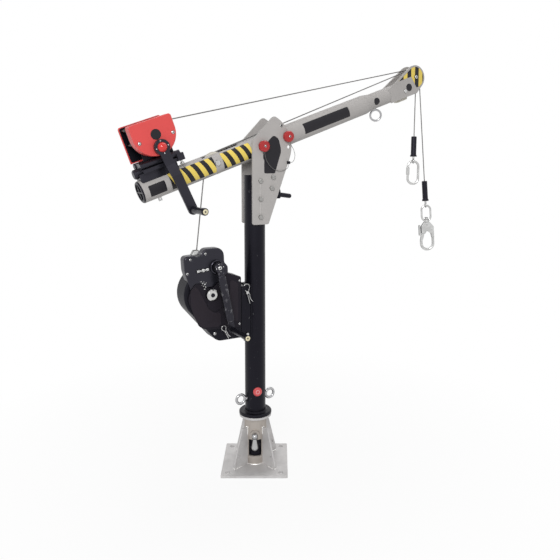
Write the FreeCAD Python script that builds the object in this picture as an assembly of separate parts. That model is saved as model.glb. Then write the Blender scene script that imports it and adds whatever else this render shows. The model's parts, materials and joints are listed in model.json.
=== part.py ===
import FreeCAD, Part
import math
import os

from FreeCAD import Placement, Rotation, Vector

# Floor mounted davit, millimetres and degrees.
# Origin: centre of the base plate's underside. +Z is up along the mast, +X is the way the boom points,
# and -Y is the near side with the knobs and cranks.

# Tube that the mast and the boom are cut from
TUBE_OD = 89.0
TUBE_WALL = 5.0

# Base plate, sleeve and gussets
BASE_SIZE = 280.0
BASE_THICKNESS = 10.0
BASE_CORNER_R = 5.0
ANCHOR_SPACING = 224.0
ANCHOR_HOLE_D = 20.0
BASE_TURN = -30.0
SLEEVE_CLEARANCE = 0.5
SLEEVE_WALL = 8.0
SLEEVE_TOP = 215.0
FLANGE_OD = 138.0
FLANGE_THICKNESS = 10.0
WINDOW_WIDTH = 54.0
WINDOW_BOTTOM = 46.0
WINDOW_TOP = 120.0
GUSSET_THICKNESS = 8.0
GUSSET_REACH = 122.0
GUSSET_TOP_REACH = 78.0
GUSSET_TOP = 172.0
GUSSET_TOE = 16.0
GUSSET_HOLE_D = 9.0
GUSSET_HOLE_REACH = 101.0
GUSSET_HOLE_Z = 58.0
LOCK_BOSS_D = 40.0
LOCK_BOSS_Z = 145.0
LOCK_BOSS_LENGTH = 8.0
SLEW_PIN_D = 14.0
SLEW_PIN_CLEARANCE = 1.5
SLEW_KNOB_D = 25.0
SLEW_HANDLE_NECK_D = 12.0
SLEW_HANDLE_BULB_D = 31.0
SLEW_HANDLE_DROP = 48.0

# Mast
MAST_TOP = 1260.0
SPIGOT_WALL = 8.0
SPIGOT_FOOT = 15.0
SPIGOT_GRIP = 100.0
SLEW_GAP = 0.5
COLLAR_OD = 141.0
COLLAR_THICKNESS = 12.0
COLLAR_ROUND = 4.0
HUB_OD = 104.0
HUB_HEIGHT = 5.0
EYE_OD = 50.0
EYE_WIRE_D = 11.0
EYE_Z = 296.0
EYE_SHOULDER_D = 20.0
EYE_STANDOFF = 1.5
PLUG_D = 38.0
PLUG_HEIGHT = 5.0
PLUG_Z = 332.0
PLUG_TURN = -15.0

# Head plates, bolts and pins
PLATE_THICKNESS = 8.0
PLATE_REAR = -36.0
PLATE_FOOT = 1053.0
PLATE_FOOT_FRONT = 39.0
PLATE_SHOULDER = 1404.0
PLATE_CORNER_R = 8.0
PLATE_TOP_R = 16.0
PLATE_ARC_R = 138.0
PLATE_ARC_TOP_ANGLE = 68.0
BOLT_D = 12.0
BOLT_HEAD_FLATS = 18.0
BOLT_HEAD_HEIGHT = 7.0
MAST_BOLT_HEIGHTS = (1085.0, 1160.0, 1236.0)
BLOCK_BOLTS = ((60.0, 1251.0), (54.0, 1205.0))
PIN_D = 16.0
PIN_END_D = 10.0
PIN_FAR_END = 10.0
PIN_NEAR_END = 1.5
LOCK_RADIUS = 125.0
SPARE_LOCK_ANGLES = (0.0, 45.0)
KNOB_D = 47.0
KNOB_THICKNESS = 19.0
KNOB_NECK_D = 28.0
KNOB_NECK = 3.0
KNOB_ROUND = 4.0
BLOCK_TOP = 1262.0
BLOCK_BOTTOM = 1160.0
BLOCK_FRONT = 102.0
BLOCK_TOP_FRONT = 80.0
BLOCK_CLEARANCE = 1.5
BLOCK_CORNER_R = 5.0
HANDLE_D = 20.0
HANDLE_ROOT_D = 26.0
HANDLE_ROOT_LENGTH = 25.0
HANDLE_SEAT = 8.0
HANDLE_LENGTH = 88.0
HANDLE_DROOP = 8.0
HANDLE_Z = 1178.0

# Boom, measured along its own axis from the mast axis, and square to it
BOOM_ANGLE = 20.0
BOOM_CROSS_Z = 1375.0
BOOM_REAR = -520.0
BOOM_FRONT = 610.0
PIVOT_ALONG = 13.5
CONE_LENGTH = 45.0
NOSE_OD = 75.0
NOSE_WALL = 6.0
NOSE_END = 880.0
NOSE_SPIGOT = 50.0
CAP_RIM = 6.0
CAP_PLUG = 20.0
CAP_STEP = 1.0
CAP_ROUND = 3.0
CAP_WALL = 6.0
CAP_RECESS = 4.0
CAP_RIB = 5.0

# Tip cheeks, sheaves and axles
CHEEK_GAP = 46.0
CHEEK_THICKNESS = 8.0
CHEEK_START = 757.0
CHEEK_START_TOP = 27.0
CHEEK_BOTTOM = -38.0
CHEEK_BOTTOM_END = 926.0
CHEEK_R = 57.0
TIP_ALONG = 943.0
TIP_RISE = 37.0
AXLE_D = 14.0
AXLE_HEAD_D = 22.0
AXLE_HEAD = 4.0
SHEAVE_PITCH_R = 41.0
SHEAVE_RIM_R = 46.0
SHEAVE_RIM_WIDTH = 14.0
SHEAVE_RIM_DEPTH = 6.0
SHEAVE_WEB_WIDTH = 7.0
SHEAVE_HUB_D = 30.0
BOOM_SHEAVE_ALONG = -199.0
BOOM_SHEAVE_RISE = 3.0
SHEAVE_CLEARANCE = 3.0
ROPE_CLEARANCE = 6.0
ROPE_SLOT_END = -80.0
TIP_BOLT_ALONG = 855.0
TIP_BOLT_RISE = -8.0
TIP_BOLT_D = 10.0
TIP_BOLT_HEAD_FLATS = 16.0
TIP_BOLT_HEAD = 5.0
GUARD_START = 797.0
GUARD_LENGTH = 86.0
GUARD_WIDTH = 26.0
GUARD_DEPTH = 13.0
GUARD_END_SLOPE = 14.0
GUARD_SEAT = 8.0
ANCHOR_ALONG = 668.0
ANCHOR_OD = 60.0
ANCHOR_WIRE_D = 9.0
ANCHOR_SHANK_D = 12.0
ANCHOR_SHANK = 5.0
ANCHOR_NUT_D = 20.0
ANCHOR_NUT = 4.0
LUG_ALONG = -458.0
LUG_SIZE = 14.0
LUG_THICKNESS = 5.0
LUG_HOLE_D = 6.0

# Winch, in the boom's own directions
SADDLE_REAR = -510.0
SADDLE_FRONT = -352.0
SADDLE_WIDTH = 62.0
SADDLE_TOP = 66.0
SADDLE_SEAT = 20.0
SADDLE_ROUND = 6.0
WINCH_BASE_REAR = -496.0
WINCH_BASE_FRONT = -346.0
WINCH_BASE_TOP = 107.0
WINCH_BASE_WIDTH = 100.0
WINCH_BASE_WAIST = 64.0
WINCH_FOOT_PLATE = 14.0
RAIL_D = 26.0
RAIL_SIDE_GAP = 0.5
RAIL_OVERHANG = 4.0
RAIL_FRONT_OVERHANG = 12.0
SOCKET_REAR = -524.0
SOCKET_RISE = 70.0
SOCKET_D = 38.0
SOCKET_ROUND = 4.0
FRONT_BAR_ALONG = -340.0
FRONT_BAR_RISE = 80.0
FRONT_BAR_SIZE = 28.0
CROSS_BAR_LENGTH = 116.0
DRUM_ALONG = -408.0
DRUM_RISE = 190.0
DRUM_ROPE_R = 41.5
DRUM_FLANGE_R = 54.0
DRUM_FLANGE = 4.0
DRUM_END_GAP = 1.0
DRUM_SHAFT_D = 20.0
COVER_CENTRE_ALONG = -412.0
COVER_CENTRE_RISE = 197.0
COVER_R = 86.0
COVER_TOP = 249.0
COVER_CORNER_R = 10.0
COVER_ROUND = 4.0
COVER_WALL = 5.0
COVER_NEAR = -70.0
COVER_SCREWS = ((-478.0, 177.0), (-341.0, 177.0))
COVER_SCREW_D = 15.0
COVER_SCREW_RECESS = 2.0
SIDE_PLATE = 5.0
NEAR_PLATE_FACE = -25.0
NEAR_PLATE_FOOT_HALF = 62.0
FAR_PLATE_FACE = 51.0
FAR_PLATE_REAR = -504.0
FAR_PLATE_FRONT = -326.0
FAR_PLATE_TOP = 252.0
FAR_PLATE_CORNER_R = 10.0
FAR_FOOT_MARGIN = 32.0
SPACER_D = 16.0
SPACER_PLACES = ((-488.0, 236.0), (-486.0, 178.0))
WINCH_CRANK_ALONG = -407.5
WINCH_CRANK_RISE = 140.0
WINCH_CRANK_ANGLE = 25.2
WINCH_CRANK_LENGTH = 261.0
WINCH_ARM_WIDTH = 38.0
WINCH_ARM_THICKNESS = 10.0
WINCH_ARM_FACE = -82.0
WINCH_JOGGLE_START = 72.0
WINCH_JOGGLE_END = 114.0
WINCH_JOGGLE = 20.0
WINCH_BOSS_D = 60.0
WINCH_BOSS_FACE = -77.0
WINCH_CAP_D = 37.0
WINCH_CAP_HEIGHT = 14.0
WINCH_SHAFT_D = 18.0
WINCH_SHAFT_CLEARANCE = 0.5
WINCH_SHAFT_END_GAP = 2.0
WINCH_GRIP_D = 28.0
WINCH_GRIP_WAIST_D = 25.0
WINCH_GRIP_LENGTH = 118.0
GRIP_ROUND = 4.0

# Ropes and what hangs on them
ROPE_D = 5.0
HOIST_TAIL_LEAN = -1.0
RETRIEVER_TAIL_LEAN = 5.5
HOIST_STOP_TOP = 1447.0
RETRIEVER_STOP_TOP = 1223.0
STOP_D = 27.0
STOP_LENGTH = 101.0
STOP_EDGE = 2.0
STOP_RIM_D = 33.0
STOP_RIM = 5.0
STOP_FLARE = 6.0
ROPE_EYE_R = 10.0
ROPE_EYE_WIRE_D = 6.0
ROPE_EYE_DROP = 22.0
ROPE_EYE_SHANK_D = 10.0
HANG_GAP = 0.05
HOOK_TURN = -30.0
CARABINER_LENGTH = 124.0
CARABINER_WIDTH = 63.0
CARABINER_ROD_D = 11.0
SCREW_GATE_D = 16.0
SCREW_GATE_LENGTH = 36.0
LINK_LENGTH = 88.0
LINK_WIDTH = 54.0
LINK_ROD_D = 9.0
SWIVEL_BOSS_D = 24.0
SWIVEL_BOSS = 13.0
SWIVEL_BOSS_DROP = 1.0
SWIVEL_PIN_D = 10.0
SWIVEL_PIN_GAP = 0.3
SWIVEL_HEAD_D = 16.0
SWIVEL_HEAD = 10.0
HOOK_ROD_D = 13.0
HOOK_BOWL_R = 30.0
HOOK_BOWL_X = -2.0
HOOK_BOWL_DROP = 112.0
HOOK_NOSE = 14.0
HOOK_BODY_THICKNESS = 15.0
HOOK_BODY_ROUND = 3.0
HOOK_BODY_CORNERS = ((-14.0, 0.0, 4.0), (14.0, 0.0, 4.0), (34.5, -24.0, 16.0), (34.5, -80.0, 2.0),
                     (21.5, -80.0, 2.0), (18.0, -60.0, 8.0), (-2.0, -44.0, 6.0), (-10.0, -60.0, 5.0),
                     (-29.0, -57.0, 6.0), (-30.0, -20.0, 12.0))
GATE_THICKNESS = 9.0
GATE_CORNERS = ((-10.0, -46.0), (-24.0, -46.0), (-29.0, -64.0), (-36.0, -58.0), (-36.0, -14.0),
                (-41.0, -16.0), (-42.0, -66.0), (-33.0, -74.0), (-38.0, -98.0), (-26.0, -98.0))

# Retrieval block on the mast
RETRIEVER_X = -227.0
RETRIEVER_Z = 783.0
CASE_R = 108.0
CASE_NEAR = -42.0
CASE_FAR = 56.0
CASE_ROUND = 12.0
CASE_CORNER_R = 6.0
CASE_FRONT = -84.0
CASE_SHOULDER = 839.0
CASE_NECK_X = -150.0
LOBE_X = -174.0
LOBE_Z = 625.0
LOBE_R = 45.0
HEAD_NEAR = -52.0
HEAD_FAR = 2.0
HEAD_ROUND = 7.0
HEAD_FAR_ROUND = 12.0
HEAD_CORNERS = ((-339.0, 942.0, 16.0), (-296.0, 945.0, 12.0), (-284.0, 938.0, 12.0), (-262.0, 944.0, 12.0),
                (-254.0, 969.0, 26.0), (-166.0, 969.0, 34.0), (-164.0, 908.0, 12.0), (-148.0, 890.0, 12.0),
                (-146.0, 800.0, 10.0), (-310.0, 800.0, 10.0), (-335.0, 884.0, 16.0))
SCREW_BOSSES = ((-311.0, 929.0), (-247.0, 948.0), (-324.0, 874.0))
SCREW_BOSS_D = 22.0
SCREW_BOSS_DEPTH = 3.0
COVER_FACE = -52.0
COVER_EDGE = 3.0
COVER_CORNERS = ((-290.0, 845.0, 26.0), (-325.0, 770.0, 50.0), (-276.0, 654.0, 30.0), (-240.0, 636.0, 30.0),
                 (-92.0, 630.0, 8.0), (-92.0, 840.0, 8.0), (-150.0, 862.0, 12.0), (-230.0, 800.0, 30.0))
STRAP_FACE = -57.0
STRAP_WIDTH = 72.0
STRAP_FOOT_Z = 748.0
STRAP_FOOT_X = -208.0
BRACKET_FRONT = -66.0
BRACKET_HALF_WIDTH = 40.0
BRACKET_TOP = 798.0
BRACKET_BOTTOM = 570.0
MAST_BRACKET_TOP = 800.0
MAST_BRACKET_BOTTOM = 560.0
MAST_BRACKET_WIDTH = 60.0
MAST_BRACKET_WALL = 8.0
BRACKET_PIN_HEIGHTS = (768.0, 590.0)
BRACKET_PIN_X = -56.5
BRACKET_PIN_D = 12.0
BRACKET_PIN_HEAD_D = 18.0
BRACKET_PIN_HEAD = 6.0
BRACKET_PIN_END = 12.0
NOZZLE_X = -272.0
NOZZLE_Z = 940.0
NOZZLE_FOOT_WIDTH = 46.0
NOZZLE_TOP_WIDTH = 22.0
NOZZLE_CORNER_R = 5.0
NOZZLE_THICKNESS = 24.0
NOZZLE_LENGTH = 20.0
NOZZLE_ROOT = 16.0
NOZZLE_BORE_D = 8.0
NOZZLE_BORE_DEPTH = 12.0
CHROME_KNOB_D = 47.0
CHROME_KNOB = 18.0
CHROME_KNOB_ROUND = 5.0
RETRIEVER_CRANK_X = -202.0
RETRIEVER_CRANK_RISE = 2.0
RETRIEVER_CRANK_END_X = -150.0
RETRIEVER_CRANK_END_Z = 636.0
RETRIEVER_ARM_WIDTH = 26.0
RETRIEVER_ARM_THICKNESS = 9.0
RETRIEVER_ARM_FACE = -80.0
RETRIEVER_SLEEVE_WIDTH = 32.0
RETRIEVER_SLEEVE_THICKNESS = 15.0
RETRIEVER_SLEEVE_START = 45.0
RETRIEVER_SLEEVE_END = 215.0
RETRIEVER_SLEEVE_ROUND = 5.0
RETRIEVER_SHAFT_D = 16.0
RETRIEVER_SHAFT_CLEARANCE = 0.5
RETRIEVER_SHAFT_DEPTH = 20.0
RETRIEVER_BOSS_D = 40.0
RETRIEVER_BOSS_STEP = 8.0
RETRIEVER_GRIP_D = 23.0
RETRIEVER_GRIP_WAIST_D = 20.0
RETRIEVER_GRIP_LENGTH = 140.0

# Lanyards of the two pins: routes are points chosen by hand
LANYARD_D = 2.0
CLIP_X = 134.0
CLIP_Z = 1312.5
CLIP_SIZE = 12.0
CLIP_HEIGHT = 9.0
LOCK_LANYARD_ROUTE = ((137.3, -65, 1399.9), (141.5, -65, 1386), (155, -63, 1369), (165, -61, 1345),
                      (160, -59, 1321), (150, -57, 1312.5), (140.05, -57, 1312.5))
PIVOT_LANYARD_ROUTE = ((14, -65, 1356.05), (15, -65, 1340), (27, -62, 1316), (46, -59, 1293), (73, -57, 1278),
                       (102, -57, 1276), (126, -57, 1285), (134, -57, 1297), (134, -57, 1306.45))

# Values that follow from the ones above
TUBE_BORE = TUBE_OD - 2 * TUBE_WALL
SLEEVE_BORE = TUBE_BORE + 2 * SLEEVE_CLEARANCE
SLEEVE_OD = SLEEVE_BORE + 2 * SLEEVE_WALL
NOSE_BORE = NOSE_OD - 2 * NOSE_WALL
BASE_TOP = BASE_THICKNESS
FLANGE_TOP = SLEEVE_TOP + FLANGE_THICKNESS
COLLAR_FOOT = FLANGE_TOP + SLEW_GAP
HUB_TOP = COLLAR_FOOT + COLLAR_THICKNESS + HUB_HEIGHT
PLATE_INNER = TUBE_OD / 2
RETRIEVER_CRANK_Z = RETRIEVER_Z + CASE_R + RETRIEVER_CRANK_RISE
PLATE_OUTER = PLATE_INNER + PLATE_THICKNESS
CHEEK_INNER = CHEEK_GAP / 2
CHEEK_OUTER = CHEEK_INNER + CHEEK_THICKNESS
ROPE_SIDE = CHEEK_GAP / 4
ALONG_Y = Vector(0, 1, 0)
ALONG_Z = Vector(0, 0, 1)


def save(name, shape):
    """Write one node of the davit to its own STEP file."""
    shape.exportStep("parts/" + name + ".step")


def rod(start, end, diameter):
    """Round bar between two points."""
    axis = end.sub(start)
    return Part.makeCylinder(diameter / 2, axis.Length, start, axis)


def cross_bar(x, z, diameter, y_low, y_high):
    """Round bar square to the boom's plane."""
    return Part.makeCylinder(diameter / 2, y_high - y_low, Vector(x, y_low, z), ALONG_Y)


def block(x_low, x_high, y_low, y_high, z_low, z_high):
    """Box between two corners."""
    return Part.makeBox(x_high - x_low, y_high - y_low, z_high - z_low, Vector(x_low, y_low, z_low))


def extrude_outline(edges, y_low, y_high):
    """Plate whose outline, drawn in the plane y = 0, is a closed loop of edges."""
    face = Part.Face(Part.Wire(edges))
    face.translate(Vector(0, y_low, 0))
    return face.extrude(Vector(0, y_high - y_low, 0))


def polygon_edges(points):
    """Closed loop of straight edges through (x, z) points."""
    corners = [Vector(x, 0, z) for x, z in points]
    return [Part.LineSegment(a, b).toShape() for a, b in zip(corners, corners[1:] + corners[:1])]


def prism(points, y_low, y_high):
    """Flat plate with a straight-sided outline."""
    return extrude_outline(polygon_edges(points), y_low, y_high)


def rounded_outline(corners):
    """Closed loop of straight edges and tangent arcs through (x, z, corner radius) points."""
    points = [Vector(x, 0, z) for x, z, _ in corners]
    befores = points[-1:] + points[:-1]
    afters = points[1:] + points[:1]
    bends = []
    for (_, _, radius), before, here, after in zip(corners, befores, points, afters):
        back = before.sub(here).normalize()
        ahead = after.sub(here).normalize()
        half_angle = back.getAngle(ahead) / 2
        cut = radius / math.tan(half_angle)
        inside = (back + ahead).normalize()
        middle = here + inside * (radius / math.sin(half_angle) - radius)
        bends.append((here + back * cut, middle, here + ahead * cut))
    edges = []
    for (start, middle, end), (next_start, _, _) in zip(bends, bends[1:] + bends[:1]):
        edges.append(Part.Arc(start, middle, end).toShape())
        edges.append(Part.LineSegment(end, next_start).toShape())
    return edges


def round_upright_edges(solid, radius, direction, chosen=None):
    """Round the straight edges that run along a direction, all of them or those near (x, z) points."""
    edges = []
    for edge in solid.Edges:
        if not isinstance(edge.Curve, Part.Line):
            continue
        if edge.tangentAt(edge.FirstParameter).cross(direction).Length > 1e-6:
            continue
        middle = edge.CenterOfMass
        if chosen is None or any(math.hypot(middle.x - x, middle.z - z) < 1.0 for x, z in chosen):
            edges.append(edge)
    return solid.makeFillet(radius, edges)


def round_rim(solid, radius, y):
    """Round all edges that lie in one plane square to Y."""
    rim = [edge for edge in solid.Edges
           if abs(edge.BoundBox.YMin - y) < 1e-4 and abs(edge.BoundBox.YMax - y) < 1e-4]
    return solid.makeFillet(radius, rim)


def hexagon(x, z, across_flats, y_low, y_high):
    """Hexagon head or nut square to the boom's plane."""
    radius = across_flats / math.sqrt(3)
    corners = [(x + radius * math.cos(math.radians(turn)), z + radius * math.sin(math.radians(turn)))
               for turn in range(0, 360, 60)]
    return prism(corners, y_low, y_high)


def turned_about_z(profile):
    """Solid of revolution about Z from (radius, height) points."""
    points = [Vector(r, 0, z) for r, z in profile]
    face = Part.Face(Part.makePolygon(points + points[:1]))
    return face.revolve(Vector(0, 0, 0), ALONG_Z, 360)


def turned_about_x(profile):
    """Solid of revolution about X from (place along X, radius) points."""
    points = [Vector(x, 0, r) for x, r in profile]
    face = Part.Face(Part.makePolygon(points + points[:1]))
    return face.revolve(Vector(0, 0, 0), Vector(1, 0, 0), 360)


def turned_about_cross_axis(x, z, profile):
    """Solid of revolution about a Y line through (x, z), from (radius, y) points."""
    points = [Vector(x + r, y, z) for r, y in profile]
    face = Part.Face(Part.makePolygon(points + points[:1]))
    return face.revolve(Vector(x, 0, z), ALONG_Y, 360)


def pipe(edges, diameter):
    """Round bar swept along a chain of tangent lines and arcs."""
    path = Part.Wire(edges)
    first = path.OrderedEdges[0]
    start = first.valueAt(first.FirstParameter)
    heading = first.tangentAt(first.FirstParameter)
    profile = Part.Wire([Part.Circle(start, heading, diameter / 2).toShape()])
    return path.makePipeShell([profile], True, False)


def placed(shape, placement):
    """Copy of a shape at a placement."""
    copy = shape.copy()
    copy.Placement = placement.multiply(copy.Placement)
    return copy


BASE_PLACE = Placement(Vector(0, 0, 0), Rotation(ALONG_Z, BASE_TURN))
BOOM_PLACE = Placement(Vector(0, 0, BOOM_CROSS_Z), Rotation(ALONG_Y, -BOOM_ANGLE))


def on_base(shape):
    return placed(shape, BASE_PLACE)


def on_boom(shape):
    return placed(shape, BOOM_PLACE)


def boom_point(along, rise, y=0.0):
    return BOOM_PLACE.multVec(Vector(along, y, rise))


def make_base_plate():
    half = BASE_SIZE / 2
    plate = block(-half, half, -half, half, 0, BASE_TOP)
    plate = round_upright_edges(plate, BASE_CORNER_R, ALONG_Z)
    for side_x in (-1, 1):
        for side_y in (-1, 1):
            centre = Vector(side_x * ANCHOR_SPACING / 2, side_y * ANCHOR_SPACING / 2, 0)
            plate = plate.cut(Part.makeCylinder(ANCHOR_HOLE_D / 2, BASE_TOP, centre))
    return on_base(plate)


def make_base_sleeve():
    height = SLEEVE_TOP - BASE_TOP
    foot = Vector(0, 0, BASE_TOP)
    boss_front = -SLEEVE_OD / 2 - LOCK_BOSS_LENGTH
    outside = Part.makeCylinder(SLEEVE_OD / 2, height, foot)
    window = block(-WINDOW_WIDTH / 2, WINDOW_WIDTH / 2, -SLEEVE_OD, 0, WINDOW_BOTTOM, WINDOW_TOP)
    outside = outside.cut(window)
    outside = outside.fuse(cross_bar(0, LOCK_BOSS_Z, LOCK_BOSS_D, boss_front, 0))
    sleeve = outside.cut(Part.makeCylinder(SLEEVE_BORE / 2, height, foot))
    sleeve = sleeve.cut(cross_bar(0, LOCK_BOSS_Z, SLEW_PIN_D, boss_front, 0))
    return on_base(sleeve)


def make_sleeve_flange():
    foot = Vector(0, 0, SLEEVE_TOP)
    ring = Part.makeCylinder(FLANGE_OD / 2, FLANGE_THICKNESS, foot)
    return ring.cut(Part.makeCylinder(SLEEVE_BORE / 2, FLANGE_THICKNESS, foot))


def make_base_gussets():
    outline = ((0, BASE_TOP), (GUSSET_REACH, BASE_TOP), (GUSSET_REACH, BASE_TOP + GUSSET_TOE),
               (GUSSET_TOP_REACH, GUSSET_TOP), (0, GUSSET_TOP))
    half = GUSSET_THICKNESS / 2
    gusset = prism(outline, -half, half)
    gusset = gusset.cut(Part.makeCylinder(SLEEVE_OD / 2, GUSSET_TOP, Vector(0, 0, 0)))
    gusset = gusset.cut(cross_bar(GUSSET_HOLE_REACH, GUSSET_HOLE_Z, GUSSET_HOLE_D, -half, half))
    gussets = []
    for quarter in range(4):
        turn = Placement(Vector(0, 0, 0), Rotation(ALONG_Z, 45 + 90 * quarter))
        gussets.append(on_base(placed(gusset, turn)))
    return Part.makeCompound(gussets)


def make_slew_lock_pin():
    knob_y = -SLEEVE_OD / 2 - LOCK_BOSS_LENGTH - SLEW_KNOB_D / 2
    tip_y = -TUBE_BORE / 2 - SLEW_PIN_CLEARANCE
    bulb_z = LOCK_BOSS_Z - SLEW_HANDLE_DROP
    pin = cross_bar(0, LOCK_BOSS_Z, SLEW_PIN_D, knob_y, tip_y)
    knob = Part.makeSphere(SLEW_KNOB_D / 2, Vector(0, knob_y, LOCK_BOSS_Z))
    neck = Part.makeCone(SLEW_HANDLE_BULB_D / 2, SLEW_HANDLE_NECK_D / 2, SLEW_HANDLE_DROP,
                         Vector(0, knob_y, bulb_z), ALONG_Z)
    bulb = Part.makeSphere(SLEW_HANDLE_BULB_D / 2, Vector(0, knob_y, bulb_z))
    return on_base(pin.fuse([knob, neck, bulb]))


def make_mast_spigot():
    height = HUB_TOP + SPIGOT_GRIP - SPIGOT_FOOT
    foot = Vector(0, 0, SPIGOT_FOOT)
    spigot = Part.makeCylinder(TUBE_BORE / 2, height, foot)
    return spigot.cut(Part.makeCylinder(TUBE_BORE / 2 - SPIGOT_WALL, height, foot))


def make_slew_collar():
    outer = COLLAR_OD / 2
    top = COLLAR_FOOT + COLLAR_THICKNESS
    return turned_about_z((
        (TUBE_BORE / 2, COLLAR_FOOT), (outer, COLLAR_FOOT), (outer, top - COLLAR_ROUND),
        (outer - COLLAR_ROUND, top), (HUB_OD / 2, top), (HUB_OD / 2 - HUB_HEIGHT, HUB_TOP),
        (TUBE_BORE / 2, HUB_TOP)))


def make_mast_tube():
    height = MAST_TOP - HUB_TOP
    foot = Vector(0, 0, HUB_TOP)
    mast = Part.makeCylinder(TUBE_OD / 2, height, foot)
    mast = mast.cut(Part.makeCylinder(TUBE_BORE / 2, height, foot))
    for z in MAST_BOLT_HEIGHTS:
        mast = mast.cut(cross_bar(0, z, BOLT_D, -TUBE_OD, TUBE_OD))
    return mast


def make_mast_eye_bolts():
    reach = TUBE_OD / 2 + EYE_STANDOFF + EYE_OD / 2
    mast = Part.makeCylinder(TUBE_OD / 2, MAST_TOP)
    eyes = []
    for side in (-1, 1):
        centre = Vector(side * reach, 0, EYE_Z)
        ring = Part.makeTorus((EYE_OD - EYE_WIRE_D) / 2, EYE_WIRE_D / 2, centre, ALONG_Y)
        shoulder_end = Vector(side * (reach - EYE_OD / 2 + EYE_WIRE_D / 2), 0, EYE_Z)
        shoulder = rod(Vector(0, 0, EYE_Z), shoulder_end, EYE_SHOULDER_D)
        eyes.append(ring.fuse(shoulder).cut(mast))
    return Part.makeCompound(eyes)


def make_mast_plug():
    mast = Part.makeCylinder(TUBE_OD / 2, MAST_TOP)
    face = -TUBE_OD / 2 - PLUG_HEIGHT
    plug = turned_about_cross_axis(0, PLUG_Z, (
        (0, face), (PLUG_D / 2 - PLUG_HEIGHT / 2, face), (PLUG_D / 2, face + PLUG_HEIGHT / 2),
        (PLUG_D / 2, 0), (0, 0)))
    return placed(plug.cut(mast), Placement(Vector(0, 0, 0), Rotation(ALONG_Z, PLUG_TURN)))


def head_plate_outline():
    pivot = boom_point(PIVOT_ALONG, 0)
    foot = Vector(PLATE_FOOT_FRONT, 0, PLATE_FOOT)
    to_pivot = pivot.sub(foot)
    lean = math.atan2(to_pivot.z, to_pivot.x) - math.asin(PLATE_ARC_R / to_pivot.Length)

    def on_arc(angle):
        return pivot + Vector(PLATE_ARC_R * math.cos(angle), 0, PLATE_ARC_R * math.sin(angle))

    arc_start = lean - math.pi / 2
    arc_end = math.radians(PLATE_ARC_TOP_ANGLE)
    rear_foot = Vector(PLATE_REAR, 0, PLATE_FOOT)
    shoulder = Vector(PLATE_REAR, 0, PLATE_SHOULDER)
    edges = [
        Part.LineSegment(rear_foot, foot).toShape(),
        Part.LineSegment(foot, on_arc(arc_start)).toShape(),
        Part.Arc(on_arc(arc_start), on_arc((arc_start + arc_end) / 2), on_arc(arc_end)).toShape(),
        Part.LineSegment(on_arc(arc_end), shoulder).toShape(),
        Part.LineSegment(shoulder, rear_foot).toShape()]
    apex = on_arc(arc_end)
    return edges, (rear_foot, foot), (shoulder, apex)


def make_head_plate(y_low, y_high):
    edges, foot_corners, top_corners = head_plate_outline()
    plate = extrude_outline(edges, y_low, y_high)
    plate = round_upright_edges(plate, PLATE_CORNER_R, ALONG_Y, [(c.x, c.z) for c in foot_corners])
    plate = round_upright_edges(plate, PLATE_TOP_R, ALONG_Y, [(c.x, c.z) for c in top_corners])
    pivot = boom_point(PIVOT_ALONG, 0)
    for x, z in bolt_places():
        plate = plate.cut(cross_bar(x, z, BOLT_D, y_low, y_high))
    plate = plate.cut(cross_bar(pivot.x, pivot.z, PIN_D, y_low, y_high))
    for angle in SPARE_LOCK_ANGLES + (BOOM_ANGLE,):
        x = pivot.x + LOCK_RADIUS * math.cos(math.radians(angle))
        z = pivot.z + LOCK_RADIUS * math.sin(math.radians(angle))
        plate = plate.cut(cross_bar(x, z, PIN_D, y_low, y_high))
    return plate


def bolt_places():
    return [(0.0, z) for z in MAST_BOLT_HEIGHTS] + list(BLOCK_BOLTS)


def make_head_bolts():
    bolts = []
    for x, z in bolt_places():
        shank = cross_bar(x, z, BOLT_D, -PLATE_OUTER, PLATE_OUTER)
        head = hexagon(x, z, BOLT_HEAD_FLATS, -PLATE_OUTER - BOLT_HEAD_HEIGHT, -PLATE_OUTER)
        nut = hexagon(x, z, BOLT_HEAD_FLATS, PLATE_OUTER, PLATE_OUTER + BOLT_HEAD_HEIGHT)
        bolts.append(shank.fuse([head, nut]))
    return Part.makeCompound(bolts)


def pin_places():
    return (boom_point(PIVOT_ALONG, 0), boom_point(PIVOT_ALONG + LOCK_RADIUS, 0))


def make_head_pins():
    near_end = -PLATE_OUTER - KNOB_NECK - KNOB_THICKNESS - PIN_NEAR_END
    pins = []
    for centre in pin_places():
        body = cross_bar(centre.x, centre.z, PIN_D, -PLATE_OUTER, PLATE_OUTER + PIN_FAR_END)
        end = cross_bar(centre.x, centre.z, PIN_END_D, near_end, -PLATE_OUTER)
        pins.append(body.fuse(end))
    return Part.makeCompound(pins)


def make_pin_knobs():
    seat = -PLATE_OUTER
    back = seat - KNOB_NECK
    face = back - KNOB_THICKNESS
    outer = KNOB_D / 2
    profile = ((PIN_END_D / 2, seat), (KNOB_NECK_D / 2, seat), (KNOB_NECK_D / 2, back),
               (outer - KNOB_ROUND / 2, back), (outer, back - KNOB_ROUND / 2), (outer, face + KNOB_ROUND),
               (outer - KNOB_ROUND, face), (PIN_END_D / 2, face))
    return Part.makeCompound([turned_about_cross_axis(c.x, c.z, profile) for c in pin_places()])


def make_handle_block():
    rear = TUBE_OD / 2 + BLOCK_CLEARANCE
    corners = ((rear, BLOCK_BOTTOM), (BLOCK_FRONT, BLOCK_BOTTOM), (BLOCK_FRONT, HANDLE_Z + HANDLE_ROOT_D / 2),
               (BLOCK_TOP_FRONT, BLOCK_TOP), (rear, BLOCK_TOP))
    outline = rounded_outline([(x, z, BLOCK_CORNER_R) for x, z in corners])
    body = extrude_outline(outline, -PLATE_INNER, PLATE_INNER)
    for x, z in BLOCK_BOLTS:
        body = body.cut(cross_bar(x, z, BOLT_D, -PLATE_INNER, PLATE_INNER))
    return body


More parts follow.
